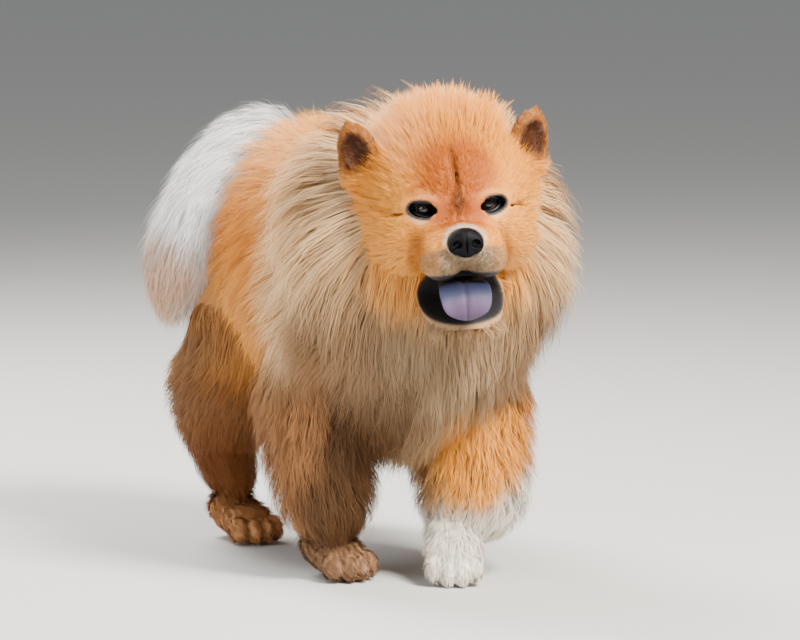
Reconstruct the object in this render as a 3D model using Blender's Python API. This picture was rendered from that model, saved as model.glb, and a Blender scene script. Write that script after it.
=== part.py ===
"""A walking chow chow as a still, life-size model: one solid for each part of the body.

Metres, +Z up. The dog faces -Y, its right side is -X, and it stands on z = 0.
"""

import math

import bmesh
import bpy
import numpy as np
from mathutils import Matrix, Vector
from mathutils.bvhtree import BVHTree

# How much of the coat's depth the plain core of each solid holds
CORE_SHARE = 0.5
# Clearance that parted solids keep, a little over the 0.3 mm of touching meshes
JOIN_GAP = 0.0005

# Where the dog stands over the middle of its own floor box
SET_DOWN = (-0.006, 0.038, 0.0)

# Head: the point midway between the eyes, and how the head is turned and tilted there
FACE_POINT = (-0.030, -0.345, 0.468)
HEAD_TURN = math.radians(-19.0)
HEAD_ROLL = math.radians(-4.0)

# Stations of each tube: x, y, z, half width, half depth and coat, with the radii at the skin
TORSO = (
    (0, -0.270, 0.335, 0.095, 0.115, 0.070),
    (0, -0.195, 0.350, 0.110, 0.138, 0.075),
    (0, -0.115, 0.362, 0.120, 0.142, 0.068),
    (0, -0.030, 0.366, 0.122, 0.136, 0.062),
    (0, 0.050, 0.370, 0.118, 0.130, 0.060),
    (0, 0.130, 0.374, 0.110, 0.123, 0.060),
    (0, 0.200, 0.372, 0.104, 0.118, 0.062),
    (0, 0.275, 0.360, 0.092, 0.108, 0.066),
)
NECK = (
    (0.000, -0.300, 0.440, 0.105, 0.105, 0.065),
    (0.004, -0.245, 0.432, 0.112, 0.112, 0.084),
    (0.006, -0.190, 0.418, 0.114, 0.118, 0.088),
    (0.004, -0.130, 0.400, 0.112, 0.120, 0.080),
    (0.000, -0.070, 0.380, 0.105, 0.115, 0.060),
)
SKULL = (
    (0, 0.150, 0.000, 0.055, 0.060, 0.050),
    (0, 0.105, 0.006, 0.080, 0.078, 0.050),
    (0, 0.065, 0.004, 0.088, 0.080, 0.034),
    (0, 0.030, -0.002, 0.082, 0.070, 0.016),
    (0, -0.010, -0.008, 0.062, 0.050, 0.005),
)
MUZZLE = (
    (0, 0.050, -0.046, 0.058, 0.040, 0.010),
    (0, 0.010, -0.047, 0.054, 0.040, 0.006),
    (0, -0.030, -0.050, 0.051, 0.038, 0.003),
    (0, -0.064, -0.053, 0.044, 0.033, 0.003),
)
TAIL = (
    (0.016, 0.222, 0.462, 0.030, 0.034, 0.056),
    (-0.020, 0.236, 0.452, 0.034, 0.036, 0.066),
    (-0.056, 0.240, 0.414, 0.034, 0.036, 0.075),
    (-0.082, 0.240, 0.364, 0.030, 0.032, 0.078),
    (-0.098, 0.242, 0.310, 0.024, 0.026, 0.074),
    (-0.104, 0.244, 0.268, 0.016, 0.016, 0.060),
)
TAIL_ROOT = (
    (0.012, 0.175, 0.400, 0.030, 0.030, 0.020),
    (0.012, 0.205, 0.435, 0.030, 0.030, 0.030),
    (0.006, 0.232, 0.462, 0.030, 0.032, 0.040),
)
FORELEG_RIGHT = (
    (-0.095, -0.150, 0.330, 0.060, 0.066, 0.045),
    (-0.102, -0.115, 0.235, 0.046, 0.051, 0.042),
    (-0.100, -0.120, 0.150, 0.036, 0.040, 0.036),
    (-0.096, -0.130, 0.075, 0.031, 0.034, 0.022),
    (-0.095, -0.140, 0.045, 0.030, 0.033, 0.010),
)
FORELEG_LEFT = (
    (0.090, -0.150, 0.330, 0.060, 0.066, 0.045),
    (0.098, -0.125, 0.235, 0.046, 0.051, 0.042),
    (0.082, -0.155, 0.160, 0.038, 0.042, 0.042),
    (0.060, -0.192, 0.092, 0.033, 0.036, 0.034),
    (0.036, -0.225, 0.050, 0.026, 0.029, 0.012),
)
HINDLEG_RIGHT = (
    (-0.080, 0.132, 0.345, 0.076, 0.084, 0.044),
    (-0.092, 0.130, 0.255, 0.064, 0.070, 0.044),
    (-0.084, 0.205, 0.165, 0.042, 0.046, 0.036),
    (-0.072, 0.240, 0.110, 0.028, 0.031, 0.016),
    (-0.066, 0.210, 0.055, 0.026, 0.029, 0.010),
)
HINDLEG_LEFT = (
    (0.080, 0.150, 0.345, 0.076, 0.084, 0.046),
    (0.092, 0.160, 0.250, 0.064, 0.070, 0.046),
    (0.082, 0.255, 0.165, 0.042, 0.046, 0.036),
    (0.074, 0.285, 0.110, 0.028, 0.031, 0.016),
    (0.070, 0.260, 0.055, 0.026, 0.029, 0.010),
)
JAW = (
    (0, 0.060, -0.066, 0.050, 0.020, 0.010),
    (0, 0.020, -0.086, 0.047, 0.020, 0.010),
    (0, -0.012, -0.106, 0.040, 0.019, 0.010),
    (0, -0.045, -0.124, 0.028, 0.013, 0.008),
)
TONGUE = (
    (0, 0.030, -0.078, 0.020, 0.006, 0),
    (0, -0.010, -0.090, 0.023, 0.006, 0),
    (0, -0.045, -0.099, 0.0245, 0.006, 0),
    (0, -0.064, -0.112, 0.0245, 0.0055, 0),
    (0, -0.069, -0.128, 0.019, 0.005, 0),
    (0, -0.067, -0.139, 0.010, 0.004, 0),
)

# Paws: heel and toe ends of each foot's middle line
PAWS = {
    "paw_front_right": ((-0.088, -0.105, 0.034), (-0.082, -0.172, 0.020)),
    "paw_front_left": ((0.036, -0.206, 0.062), (0.013, -0.256, 0.018)),
    "paw_hind_right": ((-0.067, 0.225, 0.034), (-0.064, 0.148, 0.020)),
    "paw_hind_left": ((0.070, 0.280, 0.034), (0.070, 0.206, 0.020)),
}
PAW_HALF_WIDTH = 0.034
PAW_HALF_HEIGHT = 0.026
PAW_COAT = 0.006
TOE_RADII = (0.0115, 0.019, 0.018)

EYE_RADIUS = 0.0125
EYE_PLACE = (0.037, 0.0075, 0.000)
LID_THICKNESS = 0.0028
LID_OPENING = (0.0125, 0.012, 0.0058)
BROW_PLACE = (0.038, 0.008, 0.020)
BROW_RADII = (0.024, 0.015, 0.0125)
FLEW_PLACE = (0.026, -0.030, -0.066)
FLEW_RADII = (0.0245, 0.030, 0.025)
CREASE_PLACE = (0, 0.000, 0.034)
CREASE_RADII = (0.0030, 0.018, 0.030)
NOSE_PLACE = (0, -0.060, -0.037)
NOSE_RADII = (0.021, 0.014, 0.0155)
NOSTRIL_PLACE = (0.0095, -0.073, -0.037)
NOSTRIL_RADII = (0.0042, 0.007, 0.0040)
EAR_ROOT = (0.086, 0.084, 0.030)
EAR = (
    (0, 0.000, -0.015, 0.024, 0.018, 0.003),
    (0, 0.000, 0.015, 0.026, 0.015, 0.003),
    (0, 0.002, 0.045, 0.022, 0.012, 0.003),
    (0, 0.003, 0.068, 0.014, 0.009, 0.003),
    (0, 0.003, 0.080, 0.007, 0.006, 0.003),
)
EAR_HOLLOW = (0, -0.018, 0.040)
EAR_HOLLOW_RADII = (0.017, 0.016, 0.030)

# Rows of locks: place along the tube, how many, first and last angle round it, length, and the turn of
# their lie away from the tube's own line, downwards on both sides
TAIL_LOCKS = (
    (0.06, 7, -180, 180, 0.100, 0),
    (0.30, 8, -180, 180, 0.110, 0),
    (0.56, 8, -180, 180, 0.115, 0),
    (0.80, 7, -180, 180, 0.105, 0),
)
HEAD_LOCKS = (
    (0.84, 7, 5, 175, 0.042, 0),
    (0.68, 9, -20, 200, 0.056, 0),
    (0.50, 9, -30, 210, 0.070, 0),
)
NECK_LOCKS = (
    (0.05, 9, -180, 180, 0.085, 0),
    (0.14, 14, -180, 180, 0.100, 0),
    (0.26, 17, -180, 180, 0.115, 0),
    (0.40, 17, -180, 180, 0.125, 0),
    (0.56, 13, -200, 20, 0.120, 0),
)
TORSO_LOCKS = (
    (0.05, 5, 25, 155, 0.100, 0),
    (0.13, 6, 10, 170, 0.115, 0),
    (0.24, 7, 0, 180, 0.115, 0),
    (0.42, 9, -170, 190, 0.125, 35),
    (0.55, 9, -190, 170, 0.125, 35),
    (0.68, 9, -170, 190, 0.120, 30),
    (0.80, 9, -190, 170, 0.110, 20),
    (0.90, 7, -180, 180, 0.095, 10),
)
LEG_LOCKS = (
    (0.16, 5, -180, 180, 0.085, 0),
    (0.38, 5, -180, 180, 0.080, 0),
    (0.60, 5, -180, 180, 0.065, 0),
)
LOCK_WIDTH = 0.038
LOCK_THICKNESS = 0.0085
LOCK_ROOT_DEPTH = 0.010
LOCK_STATIONS = ((0.0, 0.80, 1.0), (0.30, 1.0, 0.9), (0.66, 0.72, 0.7))
LOCK_SPREAD = 0.16
RANDOM_SEED = 7


def head_matrix():
    """The head's own frame: x to the dog's left, y backwards, z up, with its origin between the eyes."""
    turn = Matrix.Rotation(HEAD_TURN, 4, "Z")
    roll = Matrix.Rotation(HEAD_ROLL, 4, "Y")
    return Matrix.Translation(FACE_POINT) @ turn @ roll


def in_world(points, matrix):
    matrix = np.array(matrix)
    return np.asarray(points) @ matrix[:3, :3].T + matrix[:3, 3]


def resampled(rows, count):
    """The table's rows read at `count` even steps of a Catmull-Rom curve through them."""
    rows = np.asarray(rows, float)
    padded = np.vstack([2 * rows[0] - rows[1], rows, 2 * rows[-1] - rows[-2]])
    place = np.linspace(0, len(rows) - 1, count)
    first = np.minimum(place.astype(int), len(rows) - 2)
    t = (place - first)[:, None]
    a, b, c, d = (padded[first + k] for k in range(4))
    cubic = 3 * b - a - 3 * c + d
    return 0.5 * (2 * b + (c - a) * t + (2 * a - 5 * b + 4 * c - d) * t**2 + cubic * t**3)


def tube_frames(stations, places, share, rounding, ends=(0, 0), side=(1, 0, 0), level=(0, 0, 0)):
    """Centre, tangent, side axis, other axis, half width, half depth and coat of a tube at places from 0 to 1
    of its length. Both ends are rounded over `rounding` of the length, and `ends` says how much of the coat
    is added beyond each of them. `level` holds the rings' planes towards one direction at sharp bends."""
    stations = np.array(stations, float)
    for end, inner, part in ((0, 1, ends[0]), (-1, -2, ends[1])):
        away = stations[end, :3] - stations[inner, :3]
        stations[end, :3] += away / np.linalg.norm(away) * part * share * stations[end, 5]
    fine = resampled(stations, 80)
    length = np.r_[0, np.cumsum(np.linalg.norm(np.diff(fine[:, :3], axis=0), axis=1))]
    fine_tangent = np.gradient(fine[:, :3], axis=0)
    at = np.asarray(places) * length[-1]
    rows = np.stack([np.interp(at, length, column) for column in fine.T], axis=1)
    tangent = np.stack([np.interp(at, length, column) for column in fine_tangent.T], axis=1)
    tangent /= np.linalg.norm(tangent, axis=1, keepdims=True)
    tangent += np.array(level)
    tangent /= np.linalg.norm(tangent, axis=1, keepdims=True)
    side = np.array(side, float)
    across = side - (tangent @ side)[:, None] * tangent
    across /= np.linalg.norm(across, axis=1, keepdims=True)
    other = np.cross(tangent, across)
    to_end = np.clip(np.minimum(places, 1 - np.asarray(places)) / rounding, 0, 1)
    cap = np.sqrt(1 - (1 - to_end) ** 2)
    half_width = (rows[:, 3] + share * rows[:, 5]) * cap
    half_depth = (rows[:, 4] + share * rows[:, 5]) * cap
    return rows[:, :3], tangent, across, other, half_width, half_depth, rows[:, 5]


def tube(stations, rings, segments, share=CORE_SHARE, rounding=0.2, grow=0.0, matrix=None, **frame_options):
    """Points and faces of a closed tube of ellipses with a pole at each end, grown by `grow` all over."""
    even = np.linspace(0, 1, rings + 2)
    places = (even + (1 - np.cos(math.pi * even)) / 2) / 2
    frames = tube_frames(stations, places, share, rounding, **frame_options)
    centre, tangent, across, other, width, depth, _ = frames
    turn = np.linspace(0, 2 * math.pi, segments, endpoint=False)
    points = [centre[0] - tangent[0] * grow]
    for k in range(1, rings + 1):
        sideways = np.outer(np.cos(turn) * (width[k] + grow), across[k])
        points.extend(centre[k] + sideways + np.outer(np.sin(turn) * (depth[k] + grow), other[k]))
    points.append(centre[-1] + tangent[-1] * grow)
    last = 1 + (rings - 1) * segments
    faces = []
    for s in range(segments):
        after = (s + 1) % segments
        faces.append((0, 1 + after, 1 + s))
        faces.append((last + s, last + after, len(points) - 1))
        for low in range(1, last, segments):
            high = low + segments
            faces.append((low + s, low + after, high + after, high + s))
    points = np.array(points)
    return (points if matrix is None else in_world(points, matrix)), faces


def ball(centre, radii, rings=7, segments=12, matrix=None, axes=None):
    """Points and faces of an ellipsoid, turned by the three columns of `axes` before it is placed."""
    points = [(0.0, 0.0, 1.0)]
    for k in range(1, rings + 1):
        fall = math.pi * k / (rings + 1)
        for s in range(segments):
            turn = 2 * math.pi * s / segments
            points.append((math.sin(fall) * math.cos(turn), math.sin(fall) * math.sin(turn), math.cos(fall)))
    points.append((0.0, 0.0, -1.0))
    last = 1 + (rings - 1) * segments
    faces = []
    for s in range(segments):
        after = (s + 1) % segments
        faces.append((0, 1 + s, 1 + after))
        faces.append((last + after, last + s, len(points) - 1))
        for low in range(1, last, segments):
            high = low + segments
            faces.append((low + s, high + s, high + after, low + after))
    points = np.array(points) * np.asarray(radii)
    if axes is not None:
        points = points @ np.asarray(axes).T
    points = points + np.asarray(centre)
    return (points if matrix is None else in_world(points, matrix)), faces


def outward(points, faces):
    """The same faces, all turned round if they point into the solid."""
    volume = 0.0
    for face in faces:
        for a, b in zip(face[1:-1], face[2:]):
            volume += np.dot(points[face[0]], np.cross(points[a], points[b]))
    return faces if volume > 0 else [tuple(reversed(face)) for face in faces]


def mesh_object(name, shape, material=None):
    points, faces = shape
    mesh = bpy.data.meshes.new(name)
    mesh.from_pydata([tuple(p) for p in points], [], outward(points, faces))
    mesh.update()
    if material is not None:
        mesh.materials.append(material)
    obj = bpy.data.objects.new(name, mesh)
    bpy.context.scene.collection.objects.link(obj)
    return obj


def finish_material(name, colour, roughness):
    material = bpy.data.materials.new(name)
    material.use_nodes = True
    shader = material.node_tree.nodes["Principled BSDF"]
    shader.inputs["Base Color"].default_value = (*colour, 1.0)
    shader.inputs["Roughness"].default_value = roughness
    shader.inputs["Metallic"].default_value = 0.0
    return material


def apply_boolean(obj, operation, others, solver="EXACT"):
    """Runs one Boolean of `obj` with a collection of the other objects, applies it and removes them."""
    group = bpy.data.collections.new("pieces")
    for other in others:
        group.objects.link(other)
    modifier = obj.modifiers.new("join", "BOOLEAN")
    modifier.operation = operation
    modifier.operand_type = "COLLECTION"
    modifier.collection = group
    modifier.solver = solver
    graph = bpy.context.evaluated_depsgraph_get()
    mesh = bpy.data.meshes.new_from_object(obj.evaluated_get(graph))
    obj.modifiers.clear()
    obj.data = mesh
    for other in others:
        bpy.data.objects.remove(other)
    bpy.data.collections.remove(group)


def keep_largest(obj):
    """Leaves only the largest closed surface of the object's mesh."""
    work = bmesh.new()
    work.from_mesh(obj.data)
    bmesh.ops.remove_doubles(work, verts=work.verts, dist=1e-6)
    bmesh.ops.triangulate(work, faces=work.faces)
    left = set(work.faces)
    islands = []
    while left:
        island = {left.pop()}
        edge_of_growth = list(island)
        while edge_of_growth:
            face = edge_of_growth.pop()
            for edge in face.edges:
                for neighbour in edge.link_faces:
                    if neighbour in left:
                        left.discard(neighbour)
                        island.add(neighbour)
                        edge_of_growth.append(neighbour)
        islands.append(island)
    islands.sort(key=lambda island: -sum(face.calc_area() for face in island))
    for island in islands[1:]:
        bmesh.ops.delete(work, geom=list(island), context="FACES")
    loose = [vert for vert in work.verts if not vert.link_faces]
    bmesh.ops.delete(work, geom=loose, context="VERTS")
    work.to_mesh(obj.data)
    work.free()


def solid(name, core, material, pieces=(), cutters=()):
    """One node: the core with its pieces joined on, then cut clear of its neighbours."""
    obj = mesh_object(name, core, material)
    if pieces:
        apply_boolean(obj, "UNION", [mesh_object("piece", piece) for piece in pieces])
        keep_largest(obj)
    if cutters:
        apply_boolean(obj, "DIFFERENCE", [mesh_object("cutter", cutter) for cutter in cutters])
        keep_largest(obj)
    return obj


def floor_cutter():
    """A block whose top is the floor."""
    reach, depth = 0.8, 0.2
    corners = [(x, y, z) for x in (-reach, reach) for y in (-reach, reach) for z in (-depth, 0.0)]
    faces = [(0, 1, 3, 2), (4, 6, 7, 5), (0, 4, 5, 1), (2, 3, 7, 6), (0, 2, 6, 4), (1, 5, 7, 3)]
    return np.array(corners), faces


def paw_shapes(name):
    """The foot's own form, with its back end inside the leg, and its four toes."""
    heel, toe = (np.array(end) for end in PAWS[name])
    middle = (heel + toe) / 2
    rows = [
        (*heel, PAW_HALF_WIDTH * 0.88, PAW_HALF_HEIGHT * 1.05, PAW_COAT),
        (*middle, PAW_HALF_WIDTH, PAW_HALF_HEIGHT, PAW_COAT),
        (*toe, PAW_HALF_WIDTH * 0.92, PAW_HALF_HEIGHT * 0.72, PAW_COAT),
    ]
    core = tube(rows, 6, 12, rounding=0.35, share=1.0)
    forward = (toe - heel) / np.linalg.norm(toe - heel)
    across = np.cross(forward, (0, 0, 1))
    across /= np.linalg.norm(across)
    axes = np.stack([across, forward, np.cross(across, forward)], axis=1)
    toes = []
    for place, ahead in ((-1.5, -0.006), (-0.5, 0.003), (0.5, 0.003), (1.5, -0.006)):
        centre = toe + across * place * 0.0165 + forward * (ahead - 0.004) - axes[:, 2] * 0.003
        toes.append(ball(centre, TOE_RADII, 4, 8, axes=axes))
    return core, toes


def ear_axes(sign):
    """The ear's frame in the world: x across it, y out of its back, z up to its tip."""
    lean = Matrix.Rotation(sign * math.radians(14), 4, "Y")
    swing = Matrix.Rotation(sign * math.radians(22), 4, "Z")
    nod = Matrix.Rotation(math.radians(8), 4, "X")
    root = Matrix.Translation((sign * EAR_ROOT[0], EAR_ROOT[1], EAR_ROOT[2]))
    return head_matrix() @ root @ lean @ swing @ nod


def ear_shapes(sign):
    """A thick ear with a rounded tip, and the hollow that is cut into its front."""
    axes = ear_axes(sign)
    body = tube(EAR, 10, 16, rounding=0.22, share=1.0, matrix=axes)
    hollow = ball(EAR_HOLLOW, EAR_HOLLOW_RADII, 9, 16, axes)
    return body, hollow


def coat_reader(stations, share_matrix=None, rounding=0.2, **frame_options):
    """A function that gives the point at u along a tube, v round it and at a share of the coat's depth."""
    places = np.linspace(0.002, 0.998, 240)
    bare = tube_frames(stations, places, 0.0, rounding, **frame_options)[:6]
    full = tube_frames(stations, places, 1.0, rounding, **frame_options)[:6]

    def point(u, v, share):
        u = min(max(u, 0.002), 0.998)
        ends = []
        for centre, _, across, other, width, depth in (bare, full):
            read = [np.interp(u, places, column) for column in np.column_stack([centre, across, other, width, depth]).T]
            centre, across, other = np.array(read[0:3]), np.array(read[3:6]), np.array(read[6:9])
            ends.append(centre + math.cos(v) * read[9] * across + math.sin(v) * read[10] * other)
        place = ends[0] + (ends[1] - ends[0]) * share
        return place if share_matrix is None else in_world([place], share_matrix)[0]

    return point


def lock_line(reader, u, v, heading, length, root_share, tip_share, forward):
    """Points, outward normals and directions along a lock that lies on the coat and rises to its tip."""
    steps = 12
    line = []
    direction = None
    place = None
    for k in range(steps + 1):
        t = k / steps
        share = root_share + (tip_share - root_share) * t**1.15
        inside = 0.004 < u < 0.985
        if inside or place is None:
            place = reader(u, v, share)
            along = (reader(u + 0.004, v, share) - place) / 0.004
            around = (reader(u, v + 0.02, share) - place) / 0.02
            normal = np.cross(along, around)
            normal /= max(np.linalg.norm(normal), 1e-9)
            if normal @ (reader(u, v, share + 0.2) - place) < 0:
                normal = -normal
            along_length = max(np.linalg.norm(along), 0.05)
            around_length = max(np.linalg.norm(around), 0.02)
            run = forward * math.cos(heading) * along / along_length
            run = run + math.sin(heading) * around / around_length
            direction = run / np.linalg.norm(run)
            u += forward * math.cos(heading) * length / steps / along_length
            v += math.sin(heading) * length / steps / around_length
        else:
            place = place + direction * length / steps
        line.append((place, normal, direction))
    return line


def lock_shape(line, width, thickness):
    """A flat, tapered lock with a four-cornered section, its root sunk below the surface."""
    points = []
    steps = len(line) - 1
    for t, wide, thick in LOCK_STATIONS:
        place, normal, direction = line[round(t * steps)]
        across = np.cross(direction, normal)
        across /= np.linalg.norm(across)
        half = across * width * wide / 2
        up = normal * thickness * thick / 2
        points += [place - half, place + up, place + half, place - up]
    points.append(line[-1][0])
    rings = len(LOCK_STATIONS)
    faces = [(0, 1, 2, 3)]
    for ring in range(rings - 1):
        for k in range(4):
            low, after = 4 * ring + k, 4 * ring + (k + 1) % 4
            faces.append((low, low + 4, after + 4, after))
    tip = 4 * rings
    for k in range(4):
        faces.append((tip - 4 + k, tip, tip - 4 + (k + 1) % 4))
    return np.array(points), faces


def triangle_tree(shape):
    points, faces = shape
    return BVHTree.FromPolygons([tuple(p) for p in points], [tuple(face) for face in faces])


def object_tree(obj):
    points = [vert.co[:] for vert in obj.data.vertices]
    return BVHTree.FromPolygons(points, [tuple(face.vertices) for face in obj.data.polygons])


def is_inside(tree, point):
    """Whether a ray from the point leaves the closed surface an odd number of times."""
    aim = Vector((0.3, 0.2, 0.93)).normalized()
    origin = Vector(point)
    crossings = 0
    while True:
        hit = tree.ray_cast(origin, aim)[0]
        if hit is None:
            return crossings % 2 == 1
        crossings += 1
        origin = hit + aim * 1e-6


def clear_of(shape, trees):
    """Whether a lock's shape neither crosses nor lies inside any of the other nodes."""
    tree = triangle_tree(shape)
    for other in trees:
        if tree.overlap(other):
            return False
        if is_inside(other, shape[0][-1]):
            return False
    return True


def grow_locks(name, reader, rows, others, laid, forward=1, lie=None, scale=1.0, lowest=0.006):
    """The locks of one node: seeded, staggered in rows, and left out where they would cross another node."""
    rng = np.random.default_rng([RANDOM_SEED, len(name), sum(map(ord, name))])
    shapes = []
    own = []
    blocked = others + [tree for node, tree in laid if node != name]
    for row, (start, count, first, last, length, turn) in enumerate(rows):
        for k in range(count):
            part = (k + 0.5 * (row % 2) + 0.25) / count
            v = math.radians(first + (last - first) * part) + rng.uniform(-0.12, 0.12)
            for attempt in range(5):
                u = start + rng.uniform(-0.02, 0.02) + 0.02 * attempt * forward
                heading = math.radians(turn + rng.uniform(-10, 10))
                if turn:
                    heading *= math.copysign(min(1, abs(math.cos(v)) * 1.4), math.cos(v))
                if lie is not None:
                    heading += lie(u, v)
                long = length * scale * rng.uniform(0.88, 1.15) * (1 - 0.08 * attempt)
                width = LOCK_WIDTH * scale * rng.uniform(0.85, 1.15)
                reach = (1.02 - LOCK_SPREAD * rng.uniform(0, 1) + 0.05 * attempt)
                surface = reader(u, v, CORE_SHARE)
                coat = np.linalg.norm(reader(u, v, 1.0) - surface) / (1 - CORE_SHARE)
                root_share = max(CORE_SHARE - LOCK_ROOT_DEPTH * scale / max(coat, 0.01), 0.0)
                line = lock_line(reader, u, v, heading, long, root_share, reach, forward)
                thick = LOCK_THICKNESS * scale
                tested = lock_shape(line, width + 0.0016, thick + 0.0016)
                if tested[0][:, 2].min() < lowest or not clear_of(tested, blocked):
                    continue
                shapes.append(lock_shape(line, width, thick))
                own.append((name, triangle_tree(tested)))
                break
    laid.extend(own)
    print(f"{name}: {len(shapes)} locks")
    return shapes


def add_locks(obj, shapes):
    apply_boolean(obj, "UNION", [mesh_object("lock", shape) for shape in shapes])
    keep_largest(obj)


def mirrored(place, sign):
    return np.array((sign * place[0], place[1], place[2]))


def lid_opening(sign, matrix):
    """The almond between the lids: a flat ball in front of the eye, its outer corner a little raised."""
    tilt = Matrix.Rotation(sign * math.radians(-10), 3, "Y")
    centre = mirrored(EYE_PLACE, sign) - np.array((0, EYE_RADIUS, 0))
    return ball(centre, LID_OPENING, 7, 16, matrix, np.array(tilt))


def muzzle_forms(matrix, grow=0.0):
    """The muzzle and its hanging upper lips."""
    forms = [tube(MUZZLE, 8, 16, rounding=0.25, grow=grow, matrix=matrix)]
    for sign in (-1, 1):
        forms.append(ball(mirrored(FLEW_PLACE, sign), np.add(FLEW_RADII, grow), 7, 14, matrix))
    return forms


def head_pieces(matrix):
    """Muzzle, lids and brows, all sunk in the skull's form."""
    pieces = muzzle_forms(matrix)
    for sign in (-1, 1):
        lid = (EYE_RADIUS + LID_THICKNESS,) * 3
        pieces.append(ball(mirrored(EYE_PLACE, sign), lid, 9, 14, matrix))
        pieces.append(ball(mirrored(BROW_PLACE, sign), BROW_RADII, 6, 12, matrix))
    return pieces


def head_cutters(matrix, grow=0.0):
    """The eyes, the openings between the lids and the crease down the forehead."""
    radii = (EYE_RADIUS + grow,) * 3
    cutters = [ball(mirrored(EYE_PLACE, sign), radii, 7, 14, matrix) for sign in (-1, 1)]
    cutters += [lid_opening(sign, matrix) for sign in (-1, 1)]
    cutters.append(ball(CREASE_PLACE, CREASE_RADII, 9, 10, matrix))
    return cutters


def add_coat(face):
    """Lays the locks of every node that has a long coat, each clear of all the other nodes."""
    nodes = {obj.name: obj for obj in bpy.data.objects}
    trees = {name: object_tree(obj) for name, obj in nodes.items()}
    laid = []
    plan = (
        ("tail", coat_reader(TAIL, rounding=0.25, ends=(0.8, 0.8), side=(0, 1, 0)), TAIL_LOCKS, 1, 1.0),
        ("head", coat_reader(SKULL, face), HEAD_LOCKS, -1, 0.7),
        ("neck", coat_reader(NECK, rounding=0.45), NECK_LOCKS, 1, 1.0),
        ("torso", coat_reader(TORSO, rounding=0.22, ends=(0.6, 0.8)), TORSO_LOCKS, 1, 1.0),
        ("foreleg_right", coat_reader(FORELEG_RIGHT, rounding=0.15, level=(0, 0, -1)), LEG_LOCKS, 1, 0.8),
        ("foreleg_left", coat_reader(FORELEG_LEFT, rounding=0.15, level=(0, 0, -1)), LEG_LOCKS, 1, 0.8),
        ("hindleg_right", coat_reader(HINDLEG_RIGHT, rounding=0.15, level=(0, 0, -1)), LEG_LOCKS, 1, 0.9),
        ("hindleg_left", coat_reader(HINDLEG_LEFT, rounding=0.15, level=(0, 0, -1)), LEG_LOCKS, 1, 0.9),
    )
    for name, reader, rows, forward, scale in plan:
        others = [tree for node, tree in trees.items() if node != name]
        add_locks(nodes[name], grow_locks(name, reader, rows, others, laid, forward, scale=scale))


def build():
    for obj in list(bpy.data.objects):
        bpy.data.objects.remove(obj)
    face = head_matrix()
    red_coat = finish_material("red_coat", (0.55, 0.25, 0.08), 0.9)
    cream_coat = finish_material("cream_coat", (0.72, 0.52, 0.32), 0.9)
    white_coat = finish_material("white_coat", (0.85, 0.82, 0.76), 0.9)
    dark_skin = finish_material("nose_leather", (0.03, 0.03, 0.04), 0.45)
    tongue_skin = finish_material("tongue_skin", (0.25, 0.22, 0.36), 0.4)
    eye_gloss = finish_material("eye_gloss", (0.02, 0.012, 0.01), 0.08)

    torso_rows = dict(stations=TORSO, rings=16, segments=20, rounding=0.22, ends=(0.6, 0.8))
    neck_rows = dict(stations=NECK, rings=11, segments=22, rounding=0.45)
    skull_rows = dict(stations=SKULL, rings=11, segments=20, rounding=0.2, matrix=face)
    solid("torso", tube(**torso_rows), red_coat)
    torso_grown = tube(**torso_rows, grow=JOIN_GAP)
    solid("neck", tube(**neck_rows), cream_coat, cutters=[torso_grown])
    neck_grown = tube(**neck_rows, grow=JOIN_GAP)
    nose_grown = ball(NOSE_PLACE, np.add(NOSE_RADII, JOIN_GAP), 9, 16, face)
    head_cuts = [neck_grown, torso_grown, *head_cutters(face, JOIN_GAP), nose_grown]
    solid("head", tube(**skull_rows), red_coat, head_pieces(face), head_cuts)
    head_grown = [tube(**skull_rows, grow=JOIN_GAP), *muzzle_forms(face, JOIN_GAP)]
    tongue_rows = dict(stations=TONGUE, rings=12, segments=12, rounding=0.1, matrix=face)
    tongue_grown = tube(**tongue_rows, grow=JOIN_GAP)
    solid("tongue", tube(**tongue_rows), tongue_skin, cutters=[*head_grown, neck_grown, torso_grown])
    jaw_rows = dict(stations=JAW, rings=9, segments=14, rounding=0.2, matrix=face)
    jaw_cuts = [*head_grown, neck_grown, torso_grown, tongue_grown]
    solid("lower_jaw", tube(**jaw_rows), cream_coat, cutters=jaw_cuts)
    nostrils = [ball(mirrored(NOSTRIL_PLACE, sign), NOSTRIL_RADII, 7, 10, face) for sign in (-1, 1)]
    solid("nose", ball(NOSE_PLACE, NOSE_RADII, 9, 16, face), dark_skin, cutters=nostrils)
    for sign, side in ((-1, "right"), (1, "left")):
        solid(f"eye_{side}", ball(mirrored(EYE_PLACE, sign), (EYE_RADIUS,) * 3, 7, 14, face), eye_gloss)
        ear, hollow = ear_shapes(sign)
        solid(f"ear_{side}", ear, red_coat, cutters=[*head_grown, neck_grown, hollow])
    tail_rows = dict(stations=TAIL, rings=13, segments=14, rounding=0.25, ends=(0.8, 0.8), side=(0, 1, 0))
    tail_root = tube(TAIL_ROOT, 6, 12)
    legs = {
        "foreleg_right": FORELEG_RIGHT,
        "foreleg_left": FORELEG_LEFT,
        "hindleg_right": HINDLEG_RIGHT,
        "hindleg_left": HINDLEG_LEFT,
    }
    floor = floor_cutter()
    earlier = []
    for name, stations in legs.items():
        paw_name = name.replace("foreleg", "paw_front").replace("hindleg", "paw_hind")
        core, toes = paw_shapes(paw_name)
        leg_rows = dict(stations=stations, rings=12, segments=14, rounding=0.15, level=(0, 0, -1))
        leg_grown = tube(**leg_rows, grow=JOIN_GAP)
        solid(name, tube(**leg_rows), red_coat, cutters=[torso_grown, neck_grown, *earlier])
        solid(paw_name, core, cream_coat, toes, [leg_grown, floor])
        earlier.append(leg_grown)
    solid("tail", tube(**tail_rows), white_coat, [tail_root], [torso_grown, *earlier[2:]])
    add_coat(face)
    for obj in bpy.data.objects:
        obj.data.transform(Matrix.Translation(SET_DOWN))


build()
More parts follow.
